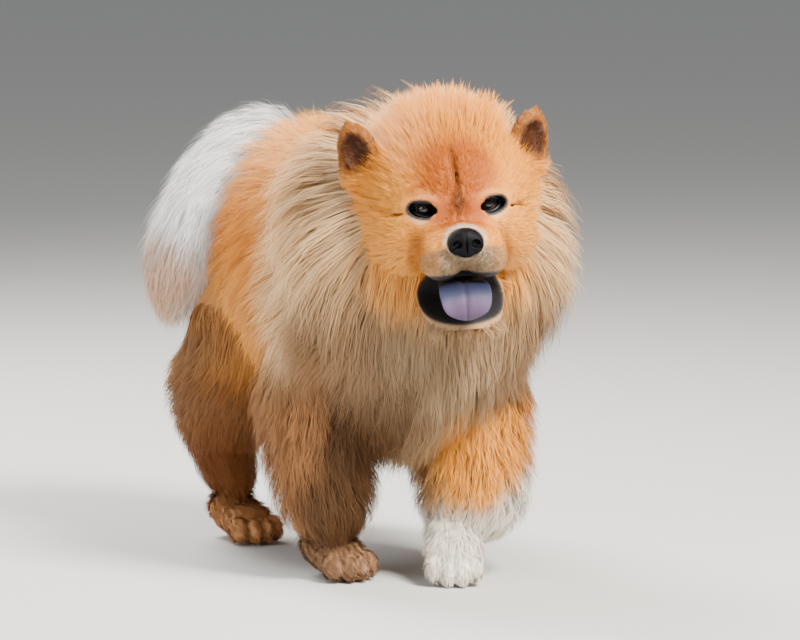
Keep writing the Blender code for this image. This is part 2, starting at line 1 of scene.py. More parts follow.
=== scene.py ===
# %% [markdown]
# A walking chow chow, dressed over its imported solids.
# The solids give the size, the pose and the reach of the coat. This lesson adds what the eye reads:
# one smooth skin, a face with lids, nose, lips and tongue, and a dense coat of fine tufts.
# Everything is worked out with numpy from tables of named sizes, in metres, with +Z up.

# %% Load the solids as the frame
import math

import bpy
import numpy as np
from mathutils import Matrix


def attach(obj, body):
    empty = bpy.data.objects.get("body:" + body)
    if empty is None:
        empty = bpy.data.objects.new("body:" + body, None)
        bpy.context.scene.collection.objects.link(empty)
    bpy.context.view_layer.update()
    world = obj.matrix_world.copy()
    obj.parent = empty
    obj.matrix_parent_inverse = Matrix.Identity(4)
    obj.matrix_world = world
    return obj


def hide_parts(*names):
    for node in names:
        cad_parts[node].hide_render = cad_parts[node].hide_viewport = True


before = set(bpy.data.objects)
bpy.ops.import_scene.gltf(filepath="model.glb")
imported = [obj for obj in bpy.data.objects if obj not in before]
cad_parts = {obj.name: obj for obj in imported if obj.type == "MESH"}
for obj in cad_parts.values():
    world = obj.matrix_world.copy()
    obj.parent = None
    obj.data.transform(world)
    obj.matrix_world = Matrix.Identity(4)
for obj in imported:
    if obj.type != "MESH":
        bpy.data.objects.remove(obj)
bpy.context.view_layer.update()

# %% [markdown]
# The body is a set of tubes with elliptical sections, as a sculptor builds an armature.
# Each row of a table is one station: x, y, z of its centre, half width, half depth and the depth
# of the coat there. The same stations carry the skin (share 0 of the coat) and the tips (share 1),
# so skin and coat can never drift apart.

# %% Stations of the body
# The dog is worked out about its own centre, and every mesh is moved by this onto the solids
PLACED_BY = np.array((-0.006, 0.038, 0.0))
FACE_POINT = np.array((-0.030, -0.345, 0.468))
HEAD_TURN = math.radians(-19.0)
HEAD_ROLL = math.radians(-4.0)
TORSO = (
    (0, -0.270, 0.330, 0.095, 0.120, 0.072),
    (0, -0.195, 0.343, 0.110, 0.146, 0.078),
    (0, -0.115, 0.356, 0.120, 0.150, 0.070),
    (0, -0.030, 0.364, 0.120, 0.142, 0.060),
    (0, 0.050, 0.370, 0.114, 0.137, 0.050),
    (0, 0.130, 0.374, 0.104, 0.136, 0.044),
    (0, 0.200, 0.372, 0.095, 0.130, 0.044),
    (0, 0.275, 0.360, 0.086, 0.116, 0.050),
)
NECK = (
    (0.000, -0.300, 0.440, 0.108, 0.105, 0.065),
    (0.004, -0.245, 0.432, 0.116, 0.112, 0.084),
    (0.006, -0.190, 0.418, 0.118, 0.118, 0.088),
    (0.004, -0.130, 0.400, 0.116, 0.120, 0.080),
    (0.000, -0.070, 0.380, 0.108, 0.115, 0.060),
)
TAIL = (
    (0.024, 0.205, 0.476, 0.030, 0.034, 0.040),
    (-0.028, 0.212, 0.490, 0.034, 0.034, 0.038),
    (-0.082, 0.206, 0.456, 0.036, 0.030, 0.036),
    (-0.124, 0.200, 0.396, 0.036, 0.028, 0.034),
    (-0.142, 0.208, 0.334, 0.030, 0.024, 0.030),
    (-0.148, 0.214, 0.290, 0.018, 0.014, 0.022),
)
FORELEG_RIGHT = (
    (-0.095, -0.150, 0.330, 0.060, 0.066, 0.045),
    (-0.102, -0.115, 0.235, 0.048, 0.051, 0.046),
    (-0.101, -0.120, 0.150, 0.038, 0.040, 0.042),
    (-0.098, -0.130, 0.085, 0.032, 0.034, 0.034),
    (-0.094, -0.138, 0.042, 0.030, 0.033, 0.020),
)
FORELEG_LEFT = (
    (0.090, -0.150, 0.330, 0.060, 0.066, 0.045),
    (0.098, -0.125, 0.235, 0.046, 0.051, 0.044),
    (0.086, -0.155, 0.160, 0.038, 0.042, 0.046),
    (0.070, -0.189, 0.090, 0.033, 0.036, 0.043),
    (0.048, -0.217, 0.048, 0.026, 0.029, 0.032),
)
HINDLEG_RIGHT = (
    (-0.078, 0.130, 0.340, 0.073, 0.083, 0.043),
    (-0.092, 0.130, 0.255, 0.064, 0.070, 0.045),
    (-0.084, 0.205, 0.165, 0.042, 0.046, 0.036),
    (-0.072, 0.240, 0.110, 0.028, 0.031, 0.018),
    (-0.066, 0.210, 0.052, 0.026, 0.029, 0.012),
)
HINDLEG_LEFT = (
    (0.080, 0.150, 0.345, 0.076, 0.084, 0.046),
    (0.092, 0.160, 0.250, 0.064, 0.070, 0.046),
    (0.082, 0.255, 0.165, 0.042, 0.046, 0.036),
    (0.074, 0.285, 0.110, 0.028, 0.031, 0.018),
    (0.070, 0.260, 0.050, 0.026, 0.029, 0.012),
)
print("tables for torso, neck, tail and four legs")

# %% Stations of the head, in its own frame
SKULL = (
    (0, 0.150, 0.000, 0.055, 0.060, 0.056),
    (0, 0.105, 0.006, 0.080, 0.078, 0.056),
    (0, 0.065, 0.004, 0.088, 0.080, 0.038),
    (0, 0.030, -0.002, 0.082, 0.070, 0.016),
    (0, -0.010, -0.008, 0.062, 0.050, 0.005),
)
MUZZLE = (
    (0, 0.050, -0.044, 0.058, 0.038, 0.010),
    (0, 0.010, -0.043, 0.054, 0.034, 0.006),
    (0, -0.030, -0.043, 0.048, 0.028, 0.003),
    (0, -0.062, -0.044, 0.040, 0.025, 0.003),
)
JAW = (
    (0, 0.060, -0.080, 0.052, 0.022, 0.010),
    (0, 0.022, -0.110, 0.052, 0.019, 0.010),
    (0, -0.012, -0.131, 0.044, 0.016, 0.010),
    (0, -0.040, -0.147, 0.030, 0.012, 0.008),
)
EAR = (
    (0, 0.000, -0.015, 0.024, 0.018, 0.003),
    (0, 0.000, 0.012, 0.0255, 0.015, 0.003),
    (0, 0.002, 0.037, 0.0215, 0.012, 0.003),
    (0, 0.003, 0.056, 0.0140, 0.009, 0.003),
    (0, 0.003, 0.067, 0.007, 0.006, 0.003),
)
PAWS = {
    "front_right": ((-0.088, -0.105, 0.034), (-0.082, -0.172, 0.020)),
    "front_left": ((0.036, -0.206, 0.062), (0.013, -0.256, 0.018)),
    "hind_right": ((-0.067, 0.225, 0.034), (-0.064, 0.148, 0.020)),
    "hind_left": ((0.070, 0.280, 0.034), (0.070, 0.206, 0.020)),
}
# Each toe's place across its foot, counted in toe widths, and how far ahead it stands
TOES = ((-1.5, -0.006), (-0.5, 0.003), (0.5, 0.003), (1.5, -0.006))
TOE_WIDTH = 0.0162
EYE_RADIUS = 0.0125
EYE_PLACE = (0.037, 0.0075, 0.000)
NOSE_PLACE = np.array((0, -0.060, -0.037))
EAR_ROOT = (0.094, 0.084, 0.038)


def rotation(axis, angle):
    """The 3x3 turn by angle about one of the axes 0, 1, 2: cosines in its plane, sines across."""
    turn = np.eye(3)
    a, b = [(1, 2), (2, 0), (0, 1)][axis]
    turn[a, a] = turn[b, b] = math.cos(angle)
    turn[b, a] = math.sin(angle)
    turn[a, b] = -math.sin(angle)
    return turn


HEAD_AXES = rotation(2, HEAD_TURN) @ rotation(1, HEAD_ROLL)


def to_world(points):
    """From the head's frame to the body's: turned, then moved to between the eyes."""
    return points @ HEAD_AXES.T + FACE_POINT


def to_head(points):
    """The way back: moved to the eyes, then turned the other way."""
    return (points - FACE_POINT) @ HEAD_AXES


turned, rolled = round(math.degrees(HEAD_TURN)), round(math.degrees(HEAD_ROLL))
print("the head is turned", turned, "degrees and rolled", rolled)

# %% [markdown]
# A tube's surface is a function of two parameters: u along it and v round it.
# Between stations a Catmull-Rom curve keeps the line smooth, and a square-root cap rounds both ends.

# %% Tubes as functions of u and v
CURVE_SIZE = 80
TABLE_SIZE = 241


def resampled(rows, count):
    """Catmull-Rom: a cubic through each pair of rows whose slopes come from the rows beside them."""
    rows = np.asarray(rows, float)
    padded = np.vstack([2 * rows[0] - rows[1], rows, 2 * rows[-1] - rows[-2]])
    place = np.linspace(0, len(rows) - 1, count)
    first = np.minimum(place.astype(int), len(rows) - 2)
    t = (place - first)[:, None]
    a, b, c, d = (padded[first + k] for k in range(4))
    return 0.5 * (2 * b + (c - a) * t + (2 * a - 5 * b + 4 * c - d) * t**2 + (3 * b - a - 3 * c + d) * t**3)


def tube_table(stations, share, rounding, ends=(0, 0), side=(1, 0, 0), level=(0, 0, 0)):
    """Columns along the tube: centre, side axis, other axis, tangent, half width and half depth."""
    stations = np.array(stations, float)
    for end, inner, part in ((0, 1, ends[0]), (-1, -2, ends[1])):
        away = stations[end, :3] - stations[inner, :3]
        stations[end, :3] += away / np.linalg.norm(away) * part * share * stations[end, 5]
    fine = resampled(stations, CURVE_SIZE)
    length = np.r_[0, np.cumsum(np.linalg.norm(np.diff(fine[:, :3], axis=0), axis=1))]
    places = np.linspace(0.002, 0.998, TABLE_SIZE)
    rows = np.stack([np.interp(places * length[-1], length, c) for c in fine.T], axis=1)
    slope = np.gradient(fine[:, :3], axis=0)
    tangent = np.stack([np.interp(places * length[-1], length, c) for c in slope.T], axis=1)
    tangent /= np.linalg.norm(tangent, axis=1, keepdims=True)
    tangent += np.array(level)
    tangent /= np.linalg.norm(tangent, axis=1, keepdims=True)
    side = np.array(side, float)
    across = side - (tangent @ side)[:, None] * tangent
    across /= np.linalg.norm(across, axis=1, keepdims=True)
    other = np.cross(tangent, across)
    to_end = np.clip(np.minimum(places, 1 - places) / rounding, 0, 1)
    cap = np.sqrt(1 - (1 - to_end) ** 2)
    radii = (rows[:, 3:5] + share * rows[:, 5:6]) * cap[:, None]
    return np.hstack([rows[:, :3], across, other, tangent, radii])


def make_tube(stations, rounding=0.2, **options):
    """A tube's two tables: its skin, and the tips of its full coat."""
    bare = tube_table(stations, 0.0, rounding, **options)
    full = tube_table(stations, 1.0, rounding, **options)
    return {"bare": bare, "full": full}


def coat_point(tube, u, v, share):
    """centre + cos v * half width * side + sin v * half depth * other, mixed from skin to tips by share."""
    at = np.clip(u, 0, 1) * (TABLE_SIZE - 1)
    low = np.minimum(at.astype(int), TABLE_SIZE - 2)
    part = (at - low)[:, None]
    ends = []
    for table in (tube["bare"], tube["full"]):
        row = table[low] * (1 - part) + table[low + 1] * part
        flat = np.cos(v)[:, None] * row[:, 12:13] * row[:, 3:6]
        ends.append(row[:, :3] + flat + np.sin(v)[:, None] * row[:, 13:14] * row[:, 6:9])
    return ends[0] + (ends[1] - ends[0]) * np.asarray(share)[:, None]


# A leg's sections are tilted towards the level, to meet body and paw
LEVEL = dict(rounding=0.15, level=(0, 0, -1))
TUBES = {
    "torso": make_tube(TORSO, 0.22, ends=(0.6, 0.8)),
    "neck": make_tube(NECK, 0.45),
    "tail": make_tube(TAIL, 0.25, ends=(0.8, 0.8), side=(0, 1, 0)),
    "foreleg_right": make_tube(FORELEG_RIGHT, **LEVEL),
    "foreleg_left": make_tube(FORELEG_LEFT, **LEVEL),
    "hindleg_right": make_tube(HINDLEG_RIGHT, **LEVEL),
    "hindleg_left": make_tube(HINDLEG_LEFT, **LEVEL),
}
HEAD_TUBES = {"skull": make_tube(SKULL), "muzzle": make_tube(MUZZLE, 0.25), "jaw": make_tube(JAW)}
print(len(TUBES) + len(HEAD_TUBES), "tubes")

# %% [markdown]
# The skin is one smooth surface where an animal has no seams. Joining tubes by a Boolean would leave
# creases, so each form is written as a field that is negative inside it, the fields are blended with
# a smooth minimum, and the surface is where the blend passes zero.

# %% Fields and their smooth joins
# How far each ellipsoid of a tube's chain reaches along it, as a share of its smaller radius
BEAD = 0.6


def tube_field(points, tube, share=0.0, samples=26):
    """Nearest of a chain of ellipsoids along the tube: (scaled distance - 1) * smaller radius."""
    best = np.full(len(points), 9.0)
    table = tube["bare"] + (tube["full"] - tube["bare"]) * share
    for row in table[np.linspace(2, TABLE_SIZE - 3, samples).astype(int)]:
        local = points - row[:3]
        wide, deep = row[12], row[13]
        small = min(wide, deep)
        a = local @ row[3:6] / wide
        b = local @ row[6:9] / deep
        c = local @ row[9:12] / (BEAD * small)
        best = np.minimum(best, (np.sqrt(a * a + b * b + c * c) - 1) * small)
    return best


def ball_field(points, centre, radii, axes=None):
    """An ellipsoid's distance, k0 (k0 - 1) / k1, where k0 and k1 are the lengths of the point
    divided by the radii once and twice."""
    local = points - np.asarray(centre, float)
    if axes is not None:
        local = local @ axes
    scaled = local / np.asarray(radii, float)
    k0 = np.linalg.norm(scaled, axis=1)
    k1 = np.linalg.norm(scaled / np.asarray(radii, float), axis=1)
    return k0 * (k0 - 1) / np.maximum(k1, 1e-9)


def joined(a, b, soft):
    """Smooth minimum: the smaller, less a parabola where the two are within `soft` of each other."""
    near = np.maximum(soft - np.abs(a - b), 0) / soft
    return np.minimum(a, b) - near * near * soft / 4


def carved(a, b, soft):
    """a with b taken out of it, with a rounded edge."""
    return -joined(-a, b, soft)


# %% A surface from a field
def grid_surface(field, low, high, cell):
    """Surface nets: one point in each cell where the field changes sign, at the mean of its edge crossings,
    and one quad round each grid edge that the surface crosses."""
    counts = [int(math.ceil((b - a) / cell)) + 1 for a, b in zip(low, high)]
    axes = [a + cell * np.arange(n) for a, n in zip(low, counts)]
    values = np.empty(counts)
    for i, x in enumerate(axes[0]):
        y, z = np.meshgrid(axes[1], axes[2], indexing="ij")
        sheet = np.stack([np.full(y.size, x), y.ravel(), z.ravel()], axis=1)
        values[i] = field(sheet).reshape(y.shape)
    inside = values < 0
    cells = [n - 1 for n in counts]
    total = np.zeros((*cells, 3))
    crossings = np.zeros(cells)
    for axis in range(3):
        b, c = [k for k in range(3) if k != axis]
        for db in (0, 1):
            for dc in (0, 1):
                start = [slice(0, n) for n in cells]
                start[b] = slice(db, db + cells[b])
                start[c] = slice(dc, dc + cells[c])
                stop = list(start)
                stop[axis] = slice(1, cells[axis] + 1)
                p, q = values[tuple(start)], values[tuple(stop)]
                cross = (p < 0) != (q < 0)
                part = np.where(cross, p / np.where(cross, p - q, 1), 0)
                total[..., axis] += np.where(cross, part, 0)
                total[..., b] += cross * db
                total[..., c] += cross * dc
                crossings += cross
    used = crossings > 0
    number = np.full(cells, -1)
    number[used] = np.arange(used.sum())
    corner = np.stack(np.nonzero(used), axis=1)
    points = np.array(low) + cell * (corner + total[used] / crossings[used][:, None])
    quads = []
    for axis in range(3):
        b, c = (axis + 1) % 3, (axis + 2) % 3
        start = [slice(1, n) for n in cells]
        start[axis] = slice(0, cells[axis])
        stop = list(start)
        stop[axis] = slice(1, cells[axis] + 1)
        first, second = inside[tuple(start)], inside[tuple(stop)]
        for flip, mask in ((False, first & ~second), (True, second & ~first)):
            at = np.stack(np.nonzero(mask), axis=1)
            at[:, b] += 1
            at[:, c] += 1
            ring = []
            for db, dc in ((-1, -1), (0, -1), (0, 0), (-1, 0)):
                near = at.copy()
                near[:, b] += db
                near[:, c] += dc
                ring.append(number[near[:, 0], near[:, 1], near[:, 2]])
            quad = np.stack(ring, axis=1)
            quads.append(quad[:, ::-1] if flip else quad)
    return points, np.vstack(quads)


def add_object(name, data):
    """A new object with that data, in the scene."""
    obj = bpy.data.objects.new(name, data)
    bpy.context.scene.collection.objects.link(obj)
    return obj


def put_mesh(name, points, quads, colours, material, triangles=None, normals=None):
    """One painted object from arrays of points and of four-sided and three-sided faces. It keeps
    one colour for each point as the attribute "coat". Given normals replace those of its faces."""
    triangles = np.empty((0, 3), int) if triangles is None else triangles
    mesh = bpy.data.meshes.new(name)
    mesh.vertices.add(len(points))
    mesh.vertices.foreach_set("co", (np.asarray(points) + PLACED_BY).astype(np.float32).ravel())
    mesh.loops.add(4 * len(quads) + 3 * len(triangles))
    mesh.loops.foreach_set("vertex_index", np.r_[quads.ravel(), triangles.ravel()].astype(np.int32))
    sizes = np.r_[np.full(len(quads), 4), np.full(len(triangles), 3)]
    mesh.polygons.add(len(sizes))
    mesh.polygons.foreach_set("loop_start", np.r_[0, np.cumsum(sizes)[:-1]].astype(np.int32))
    mesh.polygons.foreach_set("use_smooth", np.ones(len(sizes), bool))
    mesh.update(calc_edges=True)
    if normals is not None:
        layer = mesh.attributes.new("custom_normal", "FLOAT_VECTOR", "POINT")
        layer.data.foreach_set("vector", np.asarray(normals, np.float32).ravel())
    layer = mesh.color_attributes.new("coat", "FLOAT_COLOR", "POINT")
    rgba = np.ones((len(points), 4), np.float32)
    rgba[:, :3] = colours
    layer.data.foreach_set("color", rgba.ravel())
    mesh.materials.append(material)
    return add_object(name, mesh)


# %% [markdown]
# A chow has a broad flat skull, a short deep muzzle with padded lips, thick brows over small deep-set
# eyes, a crease down the forehead and small round-tipped ears. Each is one small form, blended in.

# %% The head's field
def mirrored(place, sign):
    """A place on the dog's left or, with sign -1, the same place on its right."""
    return np.array((sign * place[0], place[1], place[2]))


EAR_TUBE = make_tube(EAR, 0.22)
EAR_SHARE = 0.6
EAR_HOLLOW = ((0, -0.018, 0.034), (0.0165, 0.0155, 0.025))


def in_ear(points, sign):
    """From the head's frame to an ear's: moved to its root, then turned by its lean, swing and tilt."""
    lean = rotation(1, sign * math.radians(14))
    swing = rotation(2, sign * math.radians(22))
    tilt = rotation(0, math.radians(8))
    return (points - mirrored(EAR_ROOT, sign)) @ (lean @ swing @ tilt)


def ear_field(points, sign):
    """The ear's tapering tube with the hollow of its front carved out."""
    local = in_ear(points, sign)
    body = tube_field(local, EAR_TUBE, EAR_SHARE, 18)
    return carved(body, ball_field(local, *EAR_HOLLOW), 0.003)


def mouth_field(points):
    """The open mouth: one wide hollow above the jaw, from corner to corner."""
    return ball_field(points, (0, -0.022, -0.098), (0.0600, 0.075, 0.034))


def lid_gap_field(points, sign):
    """The almond between the lids, its outer corner a little raised."""
    centre = mirrored(EYE_PLACE, sign) - np.array((0, EYE_RADIUS, 0))
    return ball_field(points, centre, (0.0205, 0.018, 0.0108), rotation(1, sign * math.radians(-8)))


def folded(local):
    """Each point, or its mirror image where it lies on the dog's right."""
    return np.stack([np.abs(local[:, 0]), local[:, 1], local[:, 2]], axis=1)


def eye_distances(local):
    """How far each point is from the nearer eye's centre, and from the nearer gap between lids."""
    eye = np.linalg.norm(folded(local) - np.array(EYE_PLACE), axis=1)
    return eye, np.minimum(lid_gap_field(local, 1), lid_gap_field(local, -1))


def lips_field(points):
    """The muzzle with its two padded upper lips."""
    field = tube_field(points, HEAD_TUBES["muzzle"])
    for sign in (-1, 1):
        lip = ball_field(points, (sign * 0.0265, -0.030, -0.0600), (0.0240, 0.031, 0.0225))
        field = joined(field, lip, 0.008)
    return field


def head_field(points):
    """Skull, jaw and cheeks less the open mouth, then lips, brows and pouches, with a crease and
    folds carved in, and lids and ears on top."""
    field = tube_field(points, HEAD_TUBES["skull"])
    field = joined(field, tube_field(points, HEAD_TUBES["jaw"]), 0.010)
    for sign in (-1, 1):
        cheek = ball_field(points, (sign * 0.056, 0.032, -0.038), (0.032, 0.036, 0.036))
        field = joined(field, cheek, 0.018)
    field = carved(field, mouth_field(points), 0.005)
    field = joined(field, lips_field(points), 0.014)
    for sign in (-1, 1):
        brow = ball_field(points, (sign * 0.037, 0.0075, 0.0205), (0.0225, 0.0125, 0.0105))
        field = joined(field, brow, 0.010)
        pouch = ball_field(points, (sign * 0.036, 0.004, -0.018), (0.020, 0.012, 0.009))
        field = joined(field, pouch, 0.010)
    crease = ball_field(points, (0, -0.008, 0.034), (0.0022, 0.012, 0.030))
    field = carved(field, crease, 0.008)
    for sign in (-1, 1):
        fold_axes = rotation(1, sign * math.radians(12))
        fold = ball_field(points, (sign * 0.062, 0.010, -0.003), (0.016, 0.010, 0.0014), fold_axes)
        field = carved(field, fold, 0.006)
        eye = points - mirrored(EYE_PLACE, sign)
        distance = np.linalg.norm(eye, axis=1)
        field = joined(field, distance - EYE_RADIUS - 0.0026, 0.006)
        field = carved(field, distance - EYE_RADIUS - 0.0003, 0.0008)
        field = carved(field, lid_gap_field(points, sign), 0.002)
        field = joined(field, ear_field(points, sign), 0.010)
    groove = ball_field(points, (0, -0.078, -0.064), (0.0012, 0.014, 0.016))
    return carved(field, groove, 0.004)


FINE_CELL = 0.002
head_low, head_high = (-0.128, -0.086, -0.142), (0.128, 0.158, 0.122)
head_points, head_quads = grid_surface(head_field, head_low, head_high, FINE_CELL)
print("head skin:", len(head_quads), "faces")

# %% [markdown]
# Under the coat the body only needs its main forms, so its grid is coarser. The feet show, so they
# get a fine grid of their own, with a ball for each toe and soft gaps between them.

# %% The body's and the feet's fields
def foot_axes(name):
    """A foot's heel and toe end, and its directions across, forward and up."""
    heel, toe = (np.array(end) for end in PAWS[name])
    forward = (toe - heel) / np.linalg.norm(toe - heel)
    across = np.cross(forward, (0, 0, 1.0))
    across /= np.linalg.norm(across)
    return heel, toe, across, forward, np.cross(across, forward)


def leg_of(foot):
    """The name of the leg above a foot, such as foreleg_left for front_left."""
    return foot.replace("front", "foreleg").replace("hind", "hindleg")


def foot_field(points, name):
    """A short rounded pad with four toes side by side, flat where it meets the floor."""
    heel, toe, across, forward, up = foot_axes(name)
    axes = np.stack([across, forward, up], axis=1)
    field = ball_field(points, heel + up * 0.001, (0.029, 0.032, 0.025), axes)
    middle = (heel + toe) / 2
    field = joined(field, ball_field(points, middle, (0.033, 0.036, 0.023), axes), 0.012)
    for place, ahead in TOES:
        centre = toe + across * place * TOE_WIDTH + forward * (ahead - 0.004) - up * 0.002
        field = joined(field, ball_field(points, centre, (0.0105, 0.0185, 0.0155), axes), 0.003)
    field = joined(field, tube_field(points, TUBES[leg_of(name)], -0.05), 0.012)
    return np.maximum(field, 0.0012 - points[:, 2])


def body_field(points):
    """Torso, neck, tail and legs joined with soft folds where they meet."""
    field = tube_field(points, TUBES["torso"])
    for name in list(TUBES)[1:]:
        field = joined(field, tube_field(points, TUBES[name]), 0.02)
    return np.maximum(field, 0.002 - points[:, 2])


BODY_CELL = 0.006
body_points, body_quads = grid_surface(body_field, (-0.16, -0.33, 0.02), (0.16, 0.34, 0.56), BODY_CELL)
feet = {}
for foot in PAWS:
    ends = np.array(PAWS[foot])
    low, high = ends.min(axis=0) - (0.048, 0.052, 0), ends.max(axis=0) + (0.048, 0.048, 0)
    box = (*low[:2], -0.003), (*high[:2], 0.082)
    feet[foot] = grid_surface(lambda p, n=foot: foot_field(p, n), *box, FINE_CELL)
print("body skin:", len(body_quads), "faces; feet:", sum(len(q) for _, q in feet.values()), "faces")

# %% [markdown]
# The markings are one function of place, so that skin and coat always agree. It mixes a few plain
# colours by soft masks: rust on the brow, cream on the ruff, a red saddle, a white tail. Some of the
# darker tones are painted shade: on the chest, belly, thighs, hocks, lower body and right foreleg.

# %% Markings and painted shade
RUST = np.array((0.36, 0.072, 0.003))
ORANGE = np.array((0.60, 0.175, 0.010))
GOLD = np.array((0.80, 0.315, 0.035))
CREAM = np.array((0.86, 0.430, 0.130))
PALE = np.array((0.90, 0.600, 0.290))
WHITE = np.array((0.92, 0.900, 0.880))
TAN = np.array((0.50, 0.210, 0.065))
GREY = np.array((0.08, 0.070, 0.064))
BROWN = np.array((0.10, 0.028, 0.007))
DARK = np.array((0.010, 0.009, 0.011))


def step(a, b, x):
    """0 below a, 1 above b, a smooth cubic between."""
    t = np.clip((x - a) / (b - a), 0, 1)
    return t * t * (3 - 2 * t)


def spot(points, centre, radii, soft=0.5):
    """1 within an ellipsoid, fading to 0 over the share `soft` of its radii beyond."""
    r = np.linalg.norm((points - np.array(centre)) / np.array(radii), axis=1)
    return 1 - step(1.0, 1.0 + soft, r)


def waves(points, size, seed):
    """Smooth noise, mostly from -1 to 1: eight sine waves of about that length in seeded directions."""
    rng = np.random.default_rng(seed)
    total = np.zeros(len(points))
    for _ in range(8):
        aim = rng.normal(size=3)
        aim *= 2 * math.pi / (np.linalg.norm(aim) * size * rng.uniform(0.6, 1.7))
        total += np.sin(points @ aim + rng.uniform(0, 6.28))
    return total / 8 * 1.6


def mix(a, b, mask):
    """a where the mask is 0, b where it is 1."""
    return a + (b - a) * np.asarray(mask)[:, None]


def layered(colour, layers):
    """Tones laid over a colour one after the other, each where its mask is 1."""
    for tone, mask in layers:
        colour = mix(colour, tone, mask)
    return colour


def head_colour(local):
    """The face's markings in the head's frame, with painted shade in the forehead crease and in the folds
    beside the eyes.
    """
    y, z = local[:, 1], local[:, 2]
    mirror = folded(local)
    side = mirror[:, 0]
    ring = np.hypot(side, (z - 0.030) * 0.85)
    cheeks = np.clip(step(0.030, 0.080, ring) + 0.25 * waves(local, 0.05, 3), 0, 1)
    arch = z - 0.0165 + 25 * (side - 0.038) ** 2
    brow = step(0.0060, 0.0010, np.abs(arch)) * step(0.018, 0.008, np.abs(side - 0.038)) * (y < 0.02)
    inside = 0.0125 - np.abs(side - 0.045) * 0.8 + (z + 0.0090)
    below_eye = step(-0.0040, -0.0090, z) * step(-0.001, 0.006, inside) * (y < 0.02)
    from_nose = ball_field(local - NOSE_PLACE, (0, 0.004, 0.001), (0.020, 0.022, 0.0165))
    lip = spot(mirror, (0.026, -0.050, -0.064), (0.026, 0.032, 0.018), 0.35)
    lip_tone = mix(np.tile(PALE * 0.32, (len(local), 1)), TAN * (0.7, 0.8, 1.0), step(0.020, 0.040, side))
    speckle = np.clip(0.62 + 1.4 * waves(local, 0.0030, 8), 0, 1) * step(0.042, 0.026, side)
    eye, near_gap = eye_distances(local)
    layers = (
        (GOLD, cheeks),
        (CREAM, step(0.080, 0.125, ring) * step(0.05, 0.0, z) * 0.4),
        (RUST, spot(local, (0, 0.0, 0.038), (0.028, 0.05, 0.044), 1.2) * 0.85),
        (RUST, spot(local, (0, -0.030, -0.008), (0.026, 0.040, 0.014), 0.7) * 0.75),
        # Painted shade: brown down the carved forehead crease
        (BROWN, spot(local, (0, -0.008, 0.030), (0.0026, 0.022, 0.026), 1.6) * 0.65),
        (BROWN, spot(local, (0, -0.010, 0.006), (0.0060, 0.022, 0.006), 1.6) * 0.6),
        (CREAM, brow * 0.3),
        (PALE * (0.9, 0.85, 1.1), below_eye * 0.6),
        # Painted shade: brown along the carved fold beside each eye
        (BROWN, spot(mirror, (0.064, 0.008, -0.002), (0.012, 0.016, 0.0040), 1.6) * 0.15),
        (RUST * 0.8, spot(mirror, (0.050, -0.010, -0.054), (0.008, 0.026, 0.020), 0.9) * 0.6),
        (PALE * (0.65, 0.80, 1.20), step(0.0080, 0.0030, from_nose) * 0.75),
        (mix(lip_tone, GREY, speckle * 0.9), lip * 0.95),
        (DARK, (1 - step(0.0026, 0.0046, near_gap)) * (eye < 0.029)),
    )
    return layered(np.tile(ORANGE, (len(local), 1)), layers)


def mouth_colour(colour, local):
    """Black inside the mouth and along the lips' lower edge."""
    lips = lips_field(local)
    inside = (1 - step(0.0030, 0.0070, mouth_field(local))) * step(0.0005, 0.0025, lips)
    edge = step(-0.0720, -0.0770, local[:, 2]) * (local[:, 1] < 0.03) * (lips < 0.003)
    return mix(mix(colour, DARK, inside), DARK * 1.5, edge)


def on_ear(ear, near, far, low, high):
    """1 on an ear, in the ear's frame. It fades from near to far off its surface, and to 0 from the
    height high down to low."""
    return (1 - step(near, far, tube_field(ear, EAR_TUBE, EAR_SHARE, 12))) * step(low, high, ear[:, 2])


def ear_colour(colour, local):
    """Orange-brown ears, dark in their hollows."""
    for sign in (-1, 1):
        ear = in_ear(local, sign)
        outer = on_ear(ear, 0.0015, 0.0060, 0.0, 0.02)
        colour = mix(colour, ORANGE * (0.52, 0.60, 1.60), outer)
        inner = 1 - step(0.002, 0.006, ball_field(ear, *EAR_HOLLOW))
        colour = mix(colour, BROWN * 0.7, inner * outer)
    return colour


